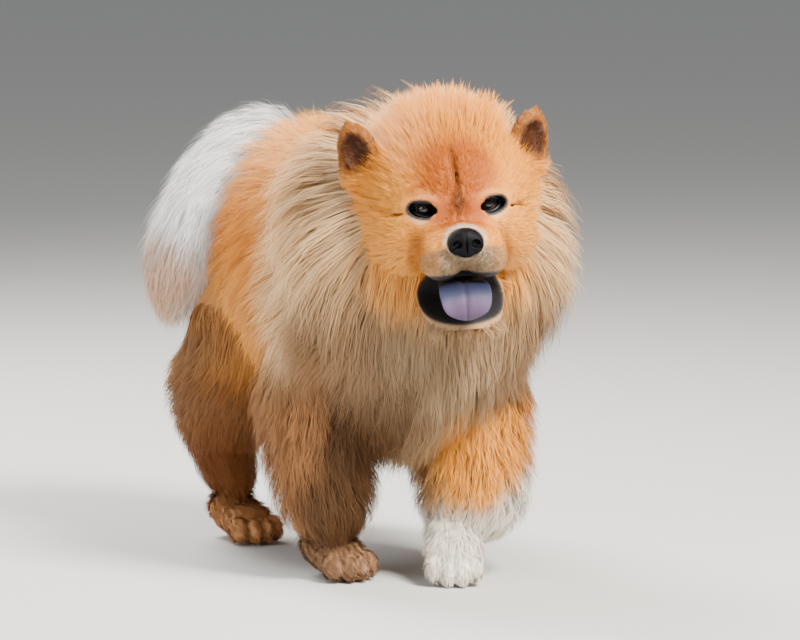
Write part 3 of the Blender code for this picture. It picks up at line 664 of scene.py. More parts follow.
def coat_colour(points):
    """The whole dog's markings, with painted shade on the chest, belly, thighs, hocks, lower body and
    right foreleg: body and tail, then face, ears, mouth and nose laid over them.
    """
    x, y, z = points.T
    noise = waves(points, 0.12, 21)
    patchy = np.clip(0.8 + 0.3 * noise, 0, 1)
    plain = np.ones((len(points), 1))
    face = to_head(points)
    side, depth, height = np.abs(face[:, 0]), face[:, 1], face[:, 2]
    ring = np.linalg.norm(face[:, [0, 2]] - np.array((0, -0.02)), axis=1)
    saddle = step(-0.13, -0.05, y) * step(0.33, 0.43, z + 0.02 * noise)
    ruff = step(0.05, 0.10, ring) * (1 - step(-0.15, -0.08, y))
    crown = step(-0.02, 0.03, height) * step(0.12, 0.08, depth) * step(0.15, 0.11, side)
    chest = (1 - step(-0.20, -0.12, y)) * step(0.40, 0.32, z)
    outwards = np.clip(step(0.05, 0.14, np.abs(x)) * 0.6 + 0.3 + 0.25 * noise, 0, 1)
    # Painted shade: the chest's middle is much darker than its pale tan, as the shade under the ruff
    chest_tone_and_shade = mix(plain * PALE * (0.34, 0.35, 0.42), TAN * (0.44, 0.48, 0.62), outwards)
    belly = step(0.26, 0.20, z) * step(-0.14, -0.06, y) * step(0.20, 0.12, y)
    thigh = step(0.0, 0.12, y) * step(0.42, 0.22, z)
    hind = step(0.02, 0.10, y)
    front = step(-0.02, -0.08, y)
    right_leg = step(0.30, 0.20, z) * front * step(-0.02, -0.04, x)
    left_leg = front * step(-0.04, -0.02, x) * step(0.235, 0.195, z)
    left_leg = left_leg * step(0.0, 0.03, x + 0.4 * step(0.10, 0.08, z))
    sock = z - 0.7 * np.clip(x - 0.080, -0.02, 0.06) + 0.010 * noise
    toes = step(0.060, 0.035, z) * step(0.10, 0.04, y)
    tail = 1 - step(-0.012, 0.004, tube_field(points, TUBES["tail"], 1.0, 14))
    tan_side = step(0.52, 0.38, z + 0.03 * noise) * step(0.118, 0.165, -x + 0.02 * noise)
    tail_tone = mix(plain * WHITE * (0.98, 1.0, 1.03), TAN * (1.3, 1.6, 2.2), tan_side * 0.8)
    layers = (
        # Partly painted shade: tan over the lower body, for its coat and for the shade low down
        (TAN, np.clip(0.5 + 0.4 * noise, 0, 1) * step(0.44, 0.30, z)),
        (mix(plain * ORANGE, GOLD, step(0.42, 0.50, z)), saddle * patchy),
        (mix(plain * GOLD, CREAM, step(0.09, 0.15, ring)), ruff),
        (PALE * (1.05, 1.12, 1.30), ruff * step(0.10, 0.17, ring) * 0.85),
        (GOLD * (1.0, 0.86, 0.45), crown * 0.9),
        # Painted shade under the ruff, on the chest
        (chest_tone_and_shade, chest * 0.9),
        # Painted shade: the belly's own rust made darker, as the shade underneath
        (RUST * 0.5, belly * 0.8),
        # Partly painted shade: the thighs' tan made darker where the body shades them
        (TAN * (0.38, 0.44, 0.62), thigh * patchy),
        # Partly painted shade: the hocks' rust made darker low on the hind legs
        ((TAN + RUST) * 0.25, hind * step(0.20, 0.12, z)),
        (TAN * (1.1, 1.2, 1.4), hind * step(0.065, 0.040, z)),
        # Painted shade: the right foreleg's tan made much darker, as it stands in shade
        (TAN * (0.24, 0.27, 0.36), right_leg),
        (TAN * (0.85, 0.9, 1.1), right_leg * step(-0.125, -0.155, x + 0.02 * noise) * 0.8),
        (GOLD, left_leg),
        (WHITE * (1.0, 0.95, 0.85), left_leg * step(0.118, 0.092, sock)),
        # Painted shade: the toes of the right forefoot made darker than the left's
        (TAN * (0.60, 0.75, 1.2), toes * step(-0.02, -0.04, x)),
        (tail_tone, tail),
    )
    colour = layered(plain * GOLD, layers)
    colour = mix(colour, colour * 0.78, np.clip(0.5 * waves(points, 0.035, 22), 0, 1))
    on_head = (1 - step(0.045, 0.095, depth)) * (1 - step(0.085, 0.115, ring))
    near = on_head > 0.001
    colour[near] = mix(colour[near], head_colour(face[near]), on_head[near])
    by_ears = (side > 0.05) & (height > 0.02) & (np.abs(depth - 0.08) < 0.06)
    colour[by_ears] = ear_colour(colour[by_ears], face[by_ears])
    by_mouth = (side < 0.08) & (depth < 0.06) & (np.abs(height + 0.10) < 0.05)
    colour[by_mouth] = mouth_colour(colour[by_mouth], face[by_mouth])
    # Partly painted shade: black under the nose leather, its own colour and the shade inside the nostrils
    to_nose = ball_field(face - NOSE_PLACE, (0, 0.002, 0), (0.0200, 0.0150, 0.0165))
    colour = mix(colour, DARK, 1 - step(0.0010, 0.0035, to_nose))
    return np.clip(colour, 0.0, 1.0)


print("markings ready, for example the tail tip:", coat_colour(np.array([[-0.10, 0.24, 0.30]])).round(2)[0])

# %% [markdown]
# The skin is one material: the painted markings, a fine mottling and a bump like velvet.
# The mottling is shared by every painted finish, so it is a node group built once.

# %% A shared group for fine variation
MOTTLE_INPUTS = (
    ("Colour", "NodeSocketColor", None),
    ("Size", "NodeSocketFloat", 300.0),
    ("Amount", "NodeSocketFloat", 0.2),
)


def build_mottle_group():
    """Noise at a chosen size darkens or lightens a colour by up to a chosen amount."""
    group = bpy.data.node_groups.new("Fine mottling", "ShaderNodeTree")
    for name, kind, value in MOTTLE_INPUTS:
        socket = group.interface.new_socket(name=name, in_out="INPUT", socket_type=kind)
        if value is not None:
            socket.default_value = value
    group.interface.new_socket(name="Colour", in_out="OUTPUT", socket_type="NodeSocketColor")
    group.interface.new_socket(name="Height", in_out="OUTPUT", socket_type="NodeSocketFloat")
    nodes, links = group.nodes, group.links
    start, end = nodes.new("NodeGroupInput"), nodes.new("NodeGroupOutput")
    place = nodes.new("ShaderNodeTexCoord")
    noise = nodes.new("ShaderNodeTexNoise")
    noise.inputs["Detail"].default_value = 3.0
    links.new(place.outputs["Object"], noise.inputs["Vector"])
    links.new(start.outputs["Size"], noise.inputs["Scale"])
    centred = nodes.new("ShaderNodeMath")
    centred.operation = "SUBTRACT"
    centred.inputs[1].default_value = 0.5
    links.new(noise.outputs["Fac"], centred.inputs[0])
    amount = nodes.new("ShaderNodeMath")
    amount.operation = "MULTIPLY_ADD"
    amount.inputs[2].default_value = 1.0
    links.new(centred.outputs[0], amount.inputs[0])
    links.new(start.outputs["Amount"], amount.inputs[1])
    scaled = nodes.new("ShaderNodeVectorMath")
    scaled.operation = "SCALE"
    links.new(start.outputs["Colour"], scaled.inputs[0])
    links.new(amount.outputs[0], scaled.inputs["Scale"])
    links.new(scaled.outputs[0], end.inputs["Colour"])
    links.new(noise.outputs["Fac"], end.inputs["Height"])
    return group


MOTTLE = build_mottle_group()


def painted_material(name, roughness, mottle_size, mottle_amount, bump=0.0, **sockets):
    """A Principled finish whose colour is the mesh's painted colour with fine mottling."""
    material = bpy.data.materials.new(name)
    material.use_nodes = True
    nodes, links = material.node_tree.nodes, material.node_tree.links
    shader = nodes["Principled BSDF"]
    colour = nodes.new("ShaderNodeAttribute")
    colour.attribute_name = "coat"
    group = nodes.new("ShaderNodeGroup")
    group.node_tree = MOTTLE
    group.inputs["Size"].default_value = mottle_size
    group.inputs["Amount"].default_value = mottle_amount
    links.new(colour.outputs["Color"], group.inputs["Colour"])
    links.new(group.outputs["Colour"], shader.inputs["Base Color"])
    shader.inputs["Roughness"].default_value = roughness
    if bump:
        raised = nodes.new("ShaderNodeBump")
        raised.inputs["Distance"].default_value = bump
        links.new(group.outputs["Height"], raised.inputs["Height"])
        links.new(raised.outputs["Normal"], shader.inputs["Normal"])
    for socket, value in sockets.items():
        shader.inputs[socket.replace("_", " ")].default_value = value
    return material


SKIN = painted_material("Short-haired skin", 0.75, 420.0, 0.35, 0.0006)
print("group", MOTTLE.name, "and material", SKIN.name)

# %% Put the skin together
def join_surfaces(surfaces):
    """Surfaces, each its points and one or more arrays of faces, as one with its faces renumbered."""
    points, *kinds = zip(*surfaces)
    starts = np.cumsum([0] + [len(part) for part in points])
    faces = [np.vstack([part + start for part, start in zip(kind, starts)]) for kind in kinds]
    return np.vstack(points), *faces


head_world = to_world(head_points)
skin_points, skin_quads = join_surfaces([(body_points, body_quads), (head_world, head_quads), *feet.values()])
skin = put_mesh("skin", skin_points, skin_quads, coat_colour(skin_points), SKIN)
FLESH = ["torso", "neck", "head", "lower_jaw", "ear_left", "ear_right", "tail"]
FLESH += ["foreleg_right", "foreleg_left", "hindleg_right", "hindleg_left"]
FLESH += ["paw_front_right", "paw_front_left", "paw_hind_right", "paw_hind_left"]
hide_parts(*FLESH)
print("skin:", len(skin_quads), "faces for", len(FLESH), "solids")

# %% [markdown]
# Eyes are small, dark and almond-shaped. Each is a full ball with a slightly raised cornea, painted
# by its angle from the gaze: pupil, brown iris, dark rim. A leathery lid rim frames the opening.

# %% Eyes and lid rims
def grid_quads(rows, columns):
    """Faces of a grid whose columns close on themselves."""
    r, c = np.meshgrid(np.arange(rows - 1), np.arange(columns), indexing="ij")
    a = (r * columns + c).ravel()
    b = (r * columns + (c + 1) % columns).ravel()
    return np.stack([a, b, b + columns, a + columns], axis=1)


def closed_grid(points):
    """Points (rows, columns, 3) as a closed tube with a fan at each end, faces outwards."""
    rows, columns = points.shape[:2]
    flat = np.vstack([points.reshape(-1, 3), points[0].mean(axis=0), points[-1].mean(axis=0)])
    quads = grid_quads(rows, columns)
    c = np.arange(columns)
    start = np.stack([np.full(columns, rows * columns), (c + 1) % columns, c], axis=1)
    last = (rows - 1) * columns
    end = np.stack([np.full(columns, rows * columns + 1), last + c, last + (c + 1) % columns], axis=1)
    triangles = np.vstack([start, end])
    a, b, d = (flat[quads[:, k]] for k in (0, 1, 2))
    middle = flat.mean(axis=0)
    facing = (np.cross(b - a, d - a) * ((a + d) / 2 - middle)).sum()
    if facing < 0:
        quads, triangles = quads[:, ::-1], triangles[:, ::-1]
    return flat, quads, triangles


EYE_FINISH = painted_material("Wet eye", 0.10, 900.0, 0.25, Coat_Weight=1.0, Coat_Roughness=0.02, IOR=1.38)
RIM_FINISH = painted_material("Dark lid leather", 0.38, 900.0, 0.5, 0.0003)
PUPIL = np.array((0.002, 0.002, 0.003))
IRIS_INNER = np.array((0.020, 0.008, 0.004))
IRIS_OUTER = np.array((0.042, 0.016, 0.006))
IRIS_RIM = np.array((0.010, 0.006, 0.005))
EYE_WHITE = np.array((0.12, 0.085, 0.075))


def eye_surface(sign):
    """A ball with a raised cornea: at the angle a from the gaze its radius is
    R - 0.2 mm + 0.6 mm (1 - (a / 32 degrees)^2)."""
    polar = np.radians(np.r_[0.5, np.linspace(2, 60, 30), np.linspace(66, 179.5, 16)])
    turn = np.linspace(0, 2 * np.pi, 48, endpoint=False)
    a, t = np.meshgrid(polar, turn, indexing="ij")
    radius = EYE_RADIUS - 0.0002 + 0.0006 * np.clip(1 - (np.degrees(a) / 32) ** 2, 0, 1)
    off_axis = radius * np.sin(a)
    points = np.stack([off_axis * np.cos(t), -radius * np.cos(a), off_axis * np.sin(t)], axis=-1)
    points = points @ rotation(2, sign * math.radians(4)).T + mirrored(EYE_PLACE, sign)
    return points, np.degrees(a)


def eye_colour(angle):
    """Pupil, brown iris, dark rim and the white, by the angle in degrees from the gaze."""
    iris = mix(np.tile(IRIS_INNER, (len(angle), 1)), IRIS_OUTER, step(20, 32, angle))
    layers = ((iris, step(18, 22, angle)), (IRIS_RIM, step(33, 37, angle)), (EYE_WHITE, step(44, 56, angle)))
    return layered(np.tile(PUPIL, (len(angle), 1)), layers)


for sign, side in ((-1, "right"), (1, "left")):
    points, polar = eye_surface(sign)
    flat, quads, triangles = closed_grid(points)
    colours = eye_colour(np.r_[polar.ravel(), 0.0, 179.0])
    eye = put_mesh(f"eye_{side}_ball", to_world(flat), quads, colours, EYE_FINISH, triangles)
    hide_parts(f"eye_{side}")
    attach(eye, "root")
print("two eyes")


def lid_rim(sign):
    """A band round the almond: rings pushed out from the opening by m metres on balls of growing
    radius r, x = (a + m) cos t, z = (b + m) |sin t|^1.15, y = -sqrt(r^2 - x^2 - z^2)."""
    t = np.linspace(0, 2 * np.pi, 56, endpoint=False)
    rings = ((-0.0006, 0.0001), (-0.0002, 0.0016), (0.0006, 0.0036), (0.0016, 0.0045), (0.0027, 0.0038))
    rows = []
    for out, lift in rings:
        radius = EYE_RADIUS + lift
        x = (0.0142 + out) * np.cos(t)
        z = (0.0072 + out) * np.sign(np.sin(t)) * np.abs(np.sin(t)) ** 1.15
        y = -np.sqrt(np.maximum(radius**2 - x**2 - z**2, 1e-8))
        rows.append(np.stack([x, y, z], axis=-1))
    rows = np.array(rows + [rows[-1] + (0, 0.003, 0), rows[0] + (0, 0.003, 0)])
    rows = rows @ rotation(1, sign * math.radians(-8)).T
    return rows + mirrored(EYE_PLACE, sign)


for sign, side in ((-1, "right"), (1, "left")):
    rows = lid_rim(sign)
    count, columns = rows.shape[:2]
    quads = grid_quads(count, columns)
    here = np.arange(columns)
    beyond = (here + 1) % columns
    last = (count - 1) * columns
    quads = np.vstack([quads, np.stack([last + here, last + beyond, beyond, here], axis=1)])
    flat = to_world(rows.reshape(-1, 3))
    rim = put_mesh(f"lid_rim_{side}", flat, quads[:, ::-1], DARK * 1.4, RIM_FINISH)
    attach(rim, "root")
print("two lid rims")

# %% [markdown]
# The nose is broad and leathery with comma-shaped nostrils and a groove down the middle.
# It gets a field of its own on a fine grid, and a pebbled bump from fine noise.

# %% Nose
def nose_field(points):
    """A padded block, two wings and a wedge below, less two nostrils, their slits and a groove."""
    local = points - NOSE_PLACE
    field = ball_field(local, (0, 0, 0.0010), (0.0195, 0.0130, 0.0160))
    field = joined(field, ball_field(local, (0, -0.001, -0.0095), (0.0095, 0.0090, 0.0080)), 0.006)
    for sign in (-1, 1):
        wing = ball_field(local, (sign * 0.0125, -0.0025, -0.0025), (0.0084, 0.0098, 0.0105))
        field = joined(field, wing, 0.004)
        nostril = ball_field(local, (sign * 0.0110, -0.0120, -0.0015), (0.0054, 0.0085, 0.0048))
        field = carved(field, nostril, 0.002)
        slit_axes = rotation(1, sign * math.radians(28))
        slit = ball_field(local, (sign * 0.0160, -0.0085, -0.0050), (0.0060, 0.0070, 0.0019), slit_axes)
        field = carved(field, slit, 0.0015)
    groove = ball_field(local, (0, -0.0135, -0.0080), (0.0007, 0.0055, 0.0130))
    return carved(field, groove, 0.0016)


NOSE_CELL = 0.0007
nose_low, nose_high = (-0.024, -0.078, -0.062), (0.024, -0.040, -0.016)
nose_points, nose_quads = grid_surface(nose_field, nose_low, nose_high, NOSE_CELL)
NOSE_BLACK = (0.0035, 0.0036, 0.0050)
NOSE_FINISH = painted_material("Nose leather", 0.32, 1400.0, 0.6, 0.0005, Specular_IOR_Level=0.07)
nose = put_mesh("nose_leather_pad", to_world(nose_points), nose_quads, NOSE_BLACK, NOSE_FINISH)
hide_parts("nose")
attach(nose, "root")
print("nose:", len(nose_quads), "faces")

# %% [markdown]
# A chow's tongue is blue-black, and this one hangs out over the chin, lighter towards its wet tip.
# Inside the mouth and at its top it is painted darker, as the shade of the lips over it.
# It is a flat tube along a curved line, with a groove down its middle and slightly raised edges.

# %% Tongue
TONGUE = (
    (-0.001, 0.030, -0.090, 0.022, 0.0060, 0),
    (-0.002, -0.010, -0.090, 0.026, 0.0060, 0),
    (-0.003, -0.042, -0.092, 0.0295, 0.0060, 0),
    (-0.004, -0.061, -0.101, 0.0305, 0.0055, 0),
    (-0.004, -0.067, -0.115, 0.0265, 0.0048, 0),
    (-0.004, -0.065, -0.128, 0.0150, 0.0038, 0),
)


# The hanging part's middle lies this far to the dog's right of its face's middle
TONGUE_MIDDLE = 0.004


def tongue_surface():
    """centre + cos v * width * side + sin v * thickness * out. The face that shows has a groove
    down its middle, a bell curve 2 mm wide, and edges that curl up with the fourth power of cos v."""
    table = tube_table(TONGUE, 0.0, 0.10)[::4]
    v = np.linspace(0, 2 * np.pi, 64, endpoint=False)
    across = np.cos(v)[None, :] * table[:, 12][:, None]
    out = table[:, None, 6:9]
    showing = np.sign(out[:, :, 2] - out[:, :, 1])
    groove = 0.0016 * np.exp(-((across / 0.0022) ** 2)) * (np.sin(v) * showing > 0)
    curl = 0.0026 * np.cos(v)[None, :] ** 4 - groove
    curl = curl * np.clip(table[:, 13][:, None] / 0.005, 0, 1) * showing
    wide = np.cos(v)[None, :, None] * table[:, None, 12:13] * table[:, None, 3:6]
    deep = (np.sin(v)[None, :] * table[:, 13][:, None] + curl)[..., None] * out
    return table[:, None, :3] + wide + deep


def tongue_colour(flat):
    """Slate inside the mouth, darkest there and at its top as painted shade of the lips; lilac where it
    hangs out, lighter at its edges, dark in its groove.
    """
    from_middle = np.abs(flat[:, 0] + TONGUE_MIDDLE)
    down = step(-0.0940, -0.1080, flat[:, 2] + 0.15 * from_middle)
    # Painted shade: darkest inside the mouth and darker at the top, over the tongue's own blue-black
    slate = np.tile((0.012, 0.015, 0.036), (len(flat), 1))
    layers = (
        (np.array((0.030, 0.034, 0.075)), step(-0.086, -0.100, flat[:, 2])),
        (np.array((0.085, 0.053, 0.108)), down),
        (np.array((0.120, 0.090, 0.170)), step(0.012, 0.024, from_middle) * 0.5 * down),
        (np.array((0.020, 0.016, 0.034)), np.exp(-((from_middle / 0.0013) ** 2)) * 0.6),
    )
    return layered(slate, layers)


flat, quads, triangles = closed_grid(tongue_surface())
TONGUE_FINISH = painted_material("Wet tongue", 0.45, 900.0, 0.35, 0.0006, Specular_IOR_Level=0.25)
tongue = put_mesh("tongue_surface", to_world(flat), quads, tongue_colour(flat), TONGUE_FINISH, triangles)
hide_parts("tongue")
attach(tongue, "root")
print("tongue:", len(quads), "faces")

# %% [markdown]
# Each toe ends in a small claw of dark horn that bends down towards the floor.

# %% Claws
def claw_surface(name, place, ahead):
    """A small cone bent down: centre moves forward by s and down by s squared, radius r (1 - s)."""
    _, toe, across, forward, up = foot_axes(name)
    start = toe + across * place * TOE_WIDTH + forward * (ahead + 0.0095) - up * 0.001
    s = np.linspace(0, 0.97, 7)
    t = np.linspace(0, 2 * np.pi, 8, endpoint=False)
    centre = start + s[:, None] * forward * 0.009 - (s**2)[:, None] * np.array((0, 0, 0.006))
    ring = np.cos(t)[:, None] * across + np.sin(t)[:, None] * up
    points = centre[:, None, :] + ((1 - s) * 0.0026)[:, None, None] * ring[None]
    points[..., 2] = np.maximum(points[..., 2], 0.0006)
    return points


CLAW_HORN = (0.05, 0.042, 0.036)
CLAW_FINISH = painted_material("Claw horn", 0.35, 600.0, 0.3)
claw_cones = [closed_grid(claw_surface(foot, *toe)) for foot in PAWS for toe in TOES]
claw_points, claw_quads, claw_triangles = join_surfaces(claw_cones)
claws = put_mesh("claws", claw_points, claw_quads, CLAW_HORN, CLAW_FINISH, claw_triangles)
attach(claws, "root")
print("claws:", len(claw_points), "points")

# %% [markdown]
# The coat is solid ribbons, not particles. A tuft is a dozen hairs that share one root place and
# lean together at their tips, which gives the soft locks of a dense double coat.
# Long hair follows its tube: a march in small steps along u and round v, while the share of the
# coat's depth grows from skin to tips, fast at first. So the coat stands off the body, bends over
# and lies along it, and it ends near the solids' surface.

# %% Lines of the long coat
STEPS = 10
# Differences of u and v by which a tube's directions are measured
SMALL_U, SMALL_V = 0.004, 0.02
# A hair that comes to this place along its tube flies on straight
TUBE_END = 0.985


def unit(vectors):
    """Vectors of length 1."""
    return vectors / np.maximum(np.linalg.norm(vectors, axis=-1, keepdims=True), 1e-9)


def march(tube, u, v, heading, length, root_share, tip_share):
    """Points, outward normals and directions at STEPS + 1 places of each hair line, whose share of
    the coat is root + (tip - root) (1 - (1 - t)^1.8)."""
    places, normals, aims = [], [], []
    place = aim = normal = None
    for k in range(STEPS + 1):
        t = k / STEPS
        share = root_share + (tip_share - root_share) * (1 - (1 - t) ** 1.8)
        here = coat_point(tube, u, v, share)
        along = (coat_point(tube, u + SMALL_U, v, share) - here) / SMALL_U
        around = (coat_point(tube, u, v + SMALL_V, share) - here) / SMALL_V
        out = unit(np.cross(along, around))
        out *= np.sign((out * (coat_point(tube, u, v, share + 0.2) - here)).sum(axis=1, keepdims=True))
        along_size = np.maximum(np.linalg.norm(along, axis=1), 0.05)
        around_size = np.maximum(np.linalg.norm(around, axis=1), 0.02)
        run = np.cos(heading)[:, None] * along / along_size[:, None]
        run = unit(run + np.sin(heading)[:, None] * around / around_size[:, None])
        if place is None:
            place, normal, aim = here, out, run
        else:
            free = (u >= TUBE_END)[:, None]
            place = np.where(free, place + aim * (length / STEPS)[:, None], here)
            normal = np.where(free, normal, out)
            aim = np.where(free, aim, run)
        places.append(place)
        normals.append(normal)
        aims.append(aim)
        u = np.minimum(u + np.cos(heading) * length / STEPS / along_size, TUBE_END + 0.001)
        v = v + np.sin(heading) * length / STEPS / around_size
    return np.stack(places, 1), np.stack(normals, 1), np.stack(aims, 1)


def spread_on_tube(tube, count, u_low, u_high, rng):
    """Random u and v, as many per area everywhere: cells of a grid drawn by their size."""
    rows, columns = 80, 97
    us, vs = np.linspace(u_low, u_high, rows), np.linspace(-np.pi, np.pi, columns)
    u, v = np.meshgrid(us, vs, indexing="ij")
    half_way = coat_point(tube, u.ravel(), v.ravel(), np.full(u.size, 0.5)).reshape(rows, columns, 3)
    along = half_way[1:, :-1] - half_way[:-1, :-1]
    around = half_way[:-1, 1:] - half_way[:-1, :-1]
    size = np.linalg.norm(np.cross(along, around), axis=-1)
    chosen = rng.choice(size.size, count, p=(size / size.sum()).ravel())
    row, column = np.divmod(chosen, size.shape[1])
    return us[row] + rng.random(count) * (us[1] - us[0]), vs[column] + rng.random(count) * (vs[1] - vs[0])


# %% Hairs of a tuft, as ribbons
def ribbons(lines, normals, aims, rng, hairs, spread, width, stations, pull=0.35, stray=0.08):
    """Each tuft's line is copied for its hairs, moved sideways by a random offset that shrinks
    towards the tip, and bent a little. A hair is two edges either side of its line and one point at
    its tip. Its normals lean from the ribbon's own to the body's, so that the coat is lit as one
    soft mass."""
    tufts, fine = lines.shape[:2]
    pick = np.round(np.linspace(0, fine - 1, stations)).astype(int)
    t = (pick / (fine - 1))[None, None, :, None]
    line, out, aim = (a[:, None, pick, :] for a in (lines, normals, aims))
    side = unit(np.cross(aim, out))
    shape = (tufts, hairs, 1, 1)
    length = np.linalg.norm(lines[:, -1] - lines[:, 0], axis=1)[:, None, None, None]
    angle, reach = rng.uniform(0, 6.283, shape), np.sqrt(rng.random(shape)) * spread
    keep = 1 - pull * t
    hair = line + side * np.cos(angle) * reach * keep + aim[:, :, :1] * np.sin(angle) * reach
    swing = side * rng.normal(0, stray, shape) + out * rng.normal(0, stray * 0.6, shape)
    hair = hair + swing * length * t**2
    wave = np.sin(t * 6.283 * rng.uniform(0.5, 1.3, shape) + rng.uniform(0, 6.283, shape)) * t * length
    hair = hair + side * wave * 0.018
    short = np.where(rng.random(shape) < 0.35, rng.uniform(0.55, 0.85, shape), rng.uniform(0.9, 1.02, shape))
    first = hair[:, :, :1]
    hair = first + (hair - first) * short
    roll = rng.normal(0, 0.3, shape)
    flat = side * np.cos(roll) + out * np.sin(roll)
    wide = width * rng.uniform(0.75, 1.25, shape) * (1 - 0.70 * t)
    tilt = rng.normal(0, 0.16, (tufts, 1, 1, 1)) + rng.normal(0, 0.10, shape)
    facing = unit(out + side * (tilt - 0.35 * np.sin(roll)) - aim * 0.12 * t) + np.zeros((1, hairs, 1, 1))
    count, size = tufts * hairs, 2 * (stations - 1)
    results = []
    edges = (hair - flat * wide / 2, hair + flat * wide / 2, hair)
    for left, right, tip in (edges, (facing, facing, facing)):
        pairs = np.stack([left[:, :, :-1], right[:, :, :-1]], axis=3).reshape(count, size, 3)
        results.append(np.concatenate([pairs, tip[:, :, -1].reshape(count, 1, 3)], axis=1).astype(np.float32))
    return results


def hair_faces(count, stations):
    """For each hair: quads between its pairs of edge points and one triangle at its tip."""
    size = 2 * (stations - 1) + 1
    base = np.arange(count)[:, None, None] * size
    k = np.arange(stations - 2)
    quads = np.stack([2 * k, 2 * k + 1, 2 * k + 3, 2 * k + 2], axis=1)[None] + base
    triangle = np.array([[size - 3, size - 2, size - 1]])[None] + base
    return quads.reshape(-1, 4), triangle.reshape(-1, 3)


COAT_FINISH = painted_material("Coat hair", 0.60, 160.0, 0.20, Specular_IOR_Level=0.15)
coat_triangles = 0
# No piece of the coat has more triangles than this
PIECE_LIMIT = 190000


def put_coat(name, made, tones, charts, rng, hairs, stations):
    """Pieces of the coat below the size limit, painted from root to tip with painted shade darkening each
    hair towards its root, each tuft on a small patch of its own in the map."""
    global coat_triangles
    points, facing = made
    size = points.shape[1]
    per_hair = 2 * (stations - 2) + 1
    per_piece = PIECE_LIMIT // (per_hair * hairs) * hairs
    t = np.append(np.repeat(np.linspace(0, 1, stations)[:-1], 2), 1.0)
    blend = np.clip(t * 1.3, 0, 1)[None, :, None]
    for number, first in enumerate(range(0, len(points), per_piece)):
        part = points[first : first + per_piece]
        count = len(part)
        quads, triangles = hair_faces(count, stations)
        turned = facing[first : first + per_piece].reshape(-1, 3)
        tuft = (np.arange(first, first + count)) // hairs
        root, tip = tones[0][tuft], tones[1][tuft]
        shade = rng.normal(1.0, 0.07, (count, 1, 1))
        colour = (root[:, None] * (1 - blend) + tip[:, None] * blend) * shade
        # Painted shade: each hair darker towards its root, where the coat shades its own depths
        colour = np.clip(colour * (0.86 + 0.16 * t[None, :, None]), 0, 1).reshape(-1, 3)
        piece_name = f"{name}_{number + 1}"
        obj = put_mesh(piece_name, part.reshape(-1, 3), quads, colour, COAT_FINISH, triangles, turned)
        across = rng.uniform(-0.0012, 0.0012, (count, size))
        along = np.broadcast_to(t * 0.0028 - 0.0014, (count, size))
        patch = charts[tuft][:, None, :] + np.stack([across, along], axis=-1)
        layer = obj.data.uv_layers.new(name="OFBake")
        order = np.empty(len(obj.data.loops), np.int32)
        obj.data.loops.foreach_get("vertex_index", order)
        layer.data.foreach_set("uv", patch.reshape(-1, 2)[order].astype(np.float32).ravel())
        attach(obj, "root")
        coat_triangles += count * per_hair
    print(f"{name}: {len(points)} hairs")


# %% [markdown]
# Now the long coat, part by part. The ruff streams out from behind the cheeks, the body's hair runs
# back and down its sides, the tail's plume falls over the right hip, and the legs carry feathering.

# %% Long coat
LONG_HAIRS, LONG_WIDTH = 12, 0.0011
# Each tube's patch of the map: left, bottom, width and height
CHARTS = {}
for number, key in enumerate(TUBES):
    CHARTS[key] = (0.02 + 0.24 * (number % 4), 0.02 + 0.48 * (number // 4), 0.22, 0.44)
CHARTS["face"] = (0.74, 0.50, 0.24, 0.46)

# Each coat leaves out the hairs that enter these other forms, up to this share of those forms' coats
COVERED = {
    "torso": {
        "neck": 0.30,
        "tail": 0.70,
        "foreleg_right": 0.45,
        "foreleg_left": 0.45,
        "hindleg_right": 0.10,
        "hindleg_left": 0.10,
    },
    "neck": {"torso": 0.15},
    "tail": {"torso": 0.05, "hindleg_right": 0.05},
    "foreleg_right": {"torso": 0.45, "neck": 0.45},
    "foreleg_left": {"torso": 0.45, "neck": 0.45},
    "hindleg_right": {"torso": 0.45, "tail": 0.80},
    "hindleg_left": {"torso": 0.45},
}


def buried(points, name, depth=None):
    """True where a point lies inside another tube: by that depth under its skin or, without one,
    up to the share of its coat that COVERED gives. The skull and a quarter of its coat always count."""
    hidden = np.zeros(len(points), bool)
    for other, tube in TUBES.items():
        if depth is not None and other != name:
            hidden |= tube_field(points, tube, 0.0, 20) < -depth
        elif other in COVERED[name]:
            hidden |= tube_field(points, tube, COVERED[name][other], 20) < 0
    return hidden | (tube_field(to_head(points), HEAD_TUBES["skull"], 0.25, 16) < 0)


def over_face(points):
    """True in front of the ears, where the ruff would hang over the face."""
    x, y, z = to_head(points).T
    return (y < 0.098) & (z > -0.055) & (np.abs(x) < 0.135)


SIDE_LIMIT = 0.200
DRAWN_IN = 0.45


def drawn_in(x):
    """Tips past SIDE_LIMIT to either side are drawn in by the share DRAWN_IN of what they pass it by."""
    beyond = np.maximum(np.abs(x) - SIDE_LIMIT, 0)
    return x - np.sign(x) * beyond * DRAWN_IN


# Long hairs that end lower than this are left out, on the tail and everywhere
TAIL_LOWEST, TIP_LOWEST = 0.275, 0.006
# What still dips below this height is lifted to it, in the long and in the short coat
LONG_FLOOR, SHORT_FLOOR = 0.003, 0.001


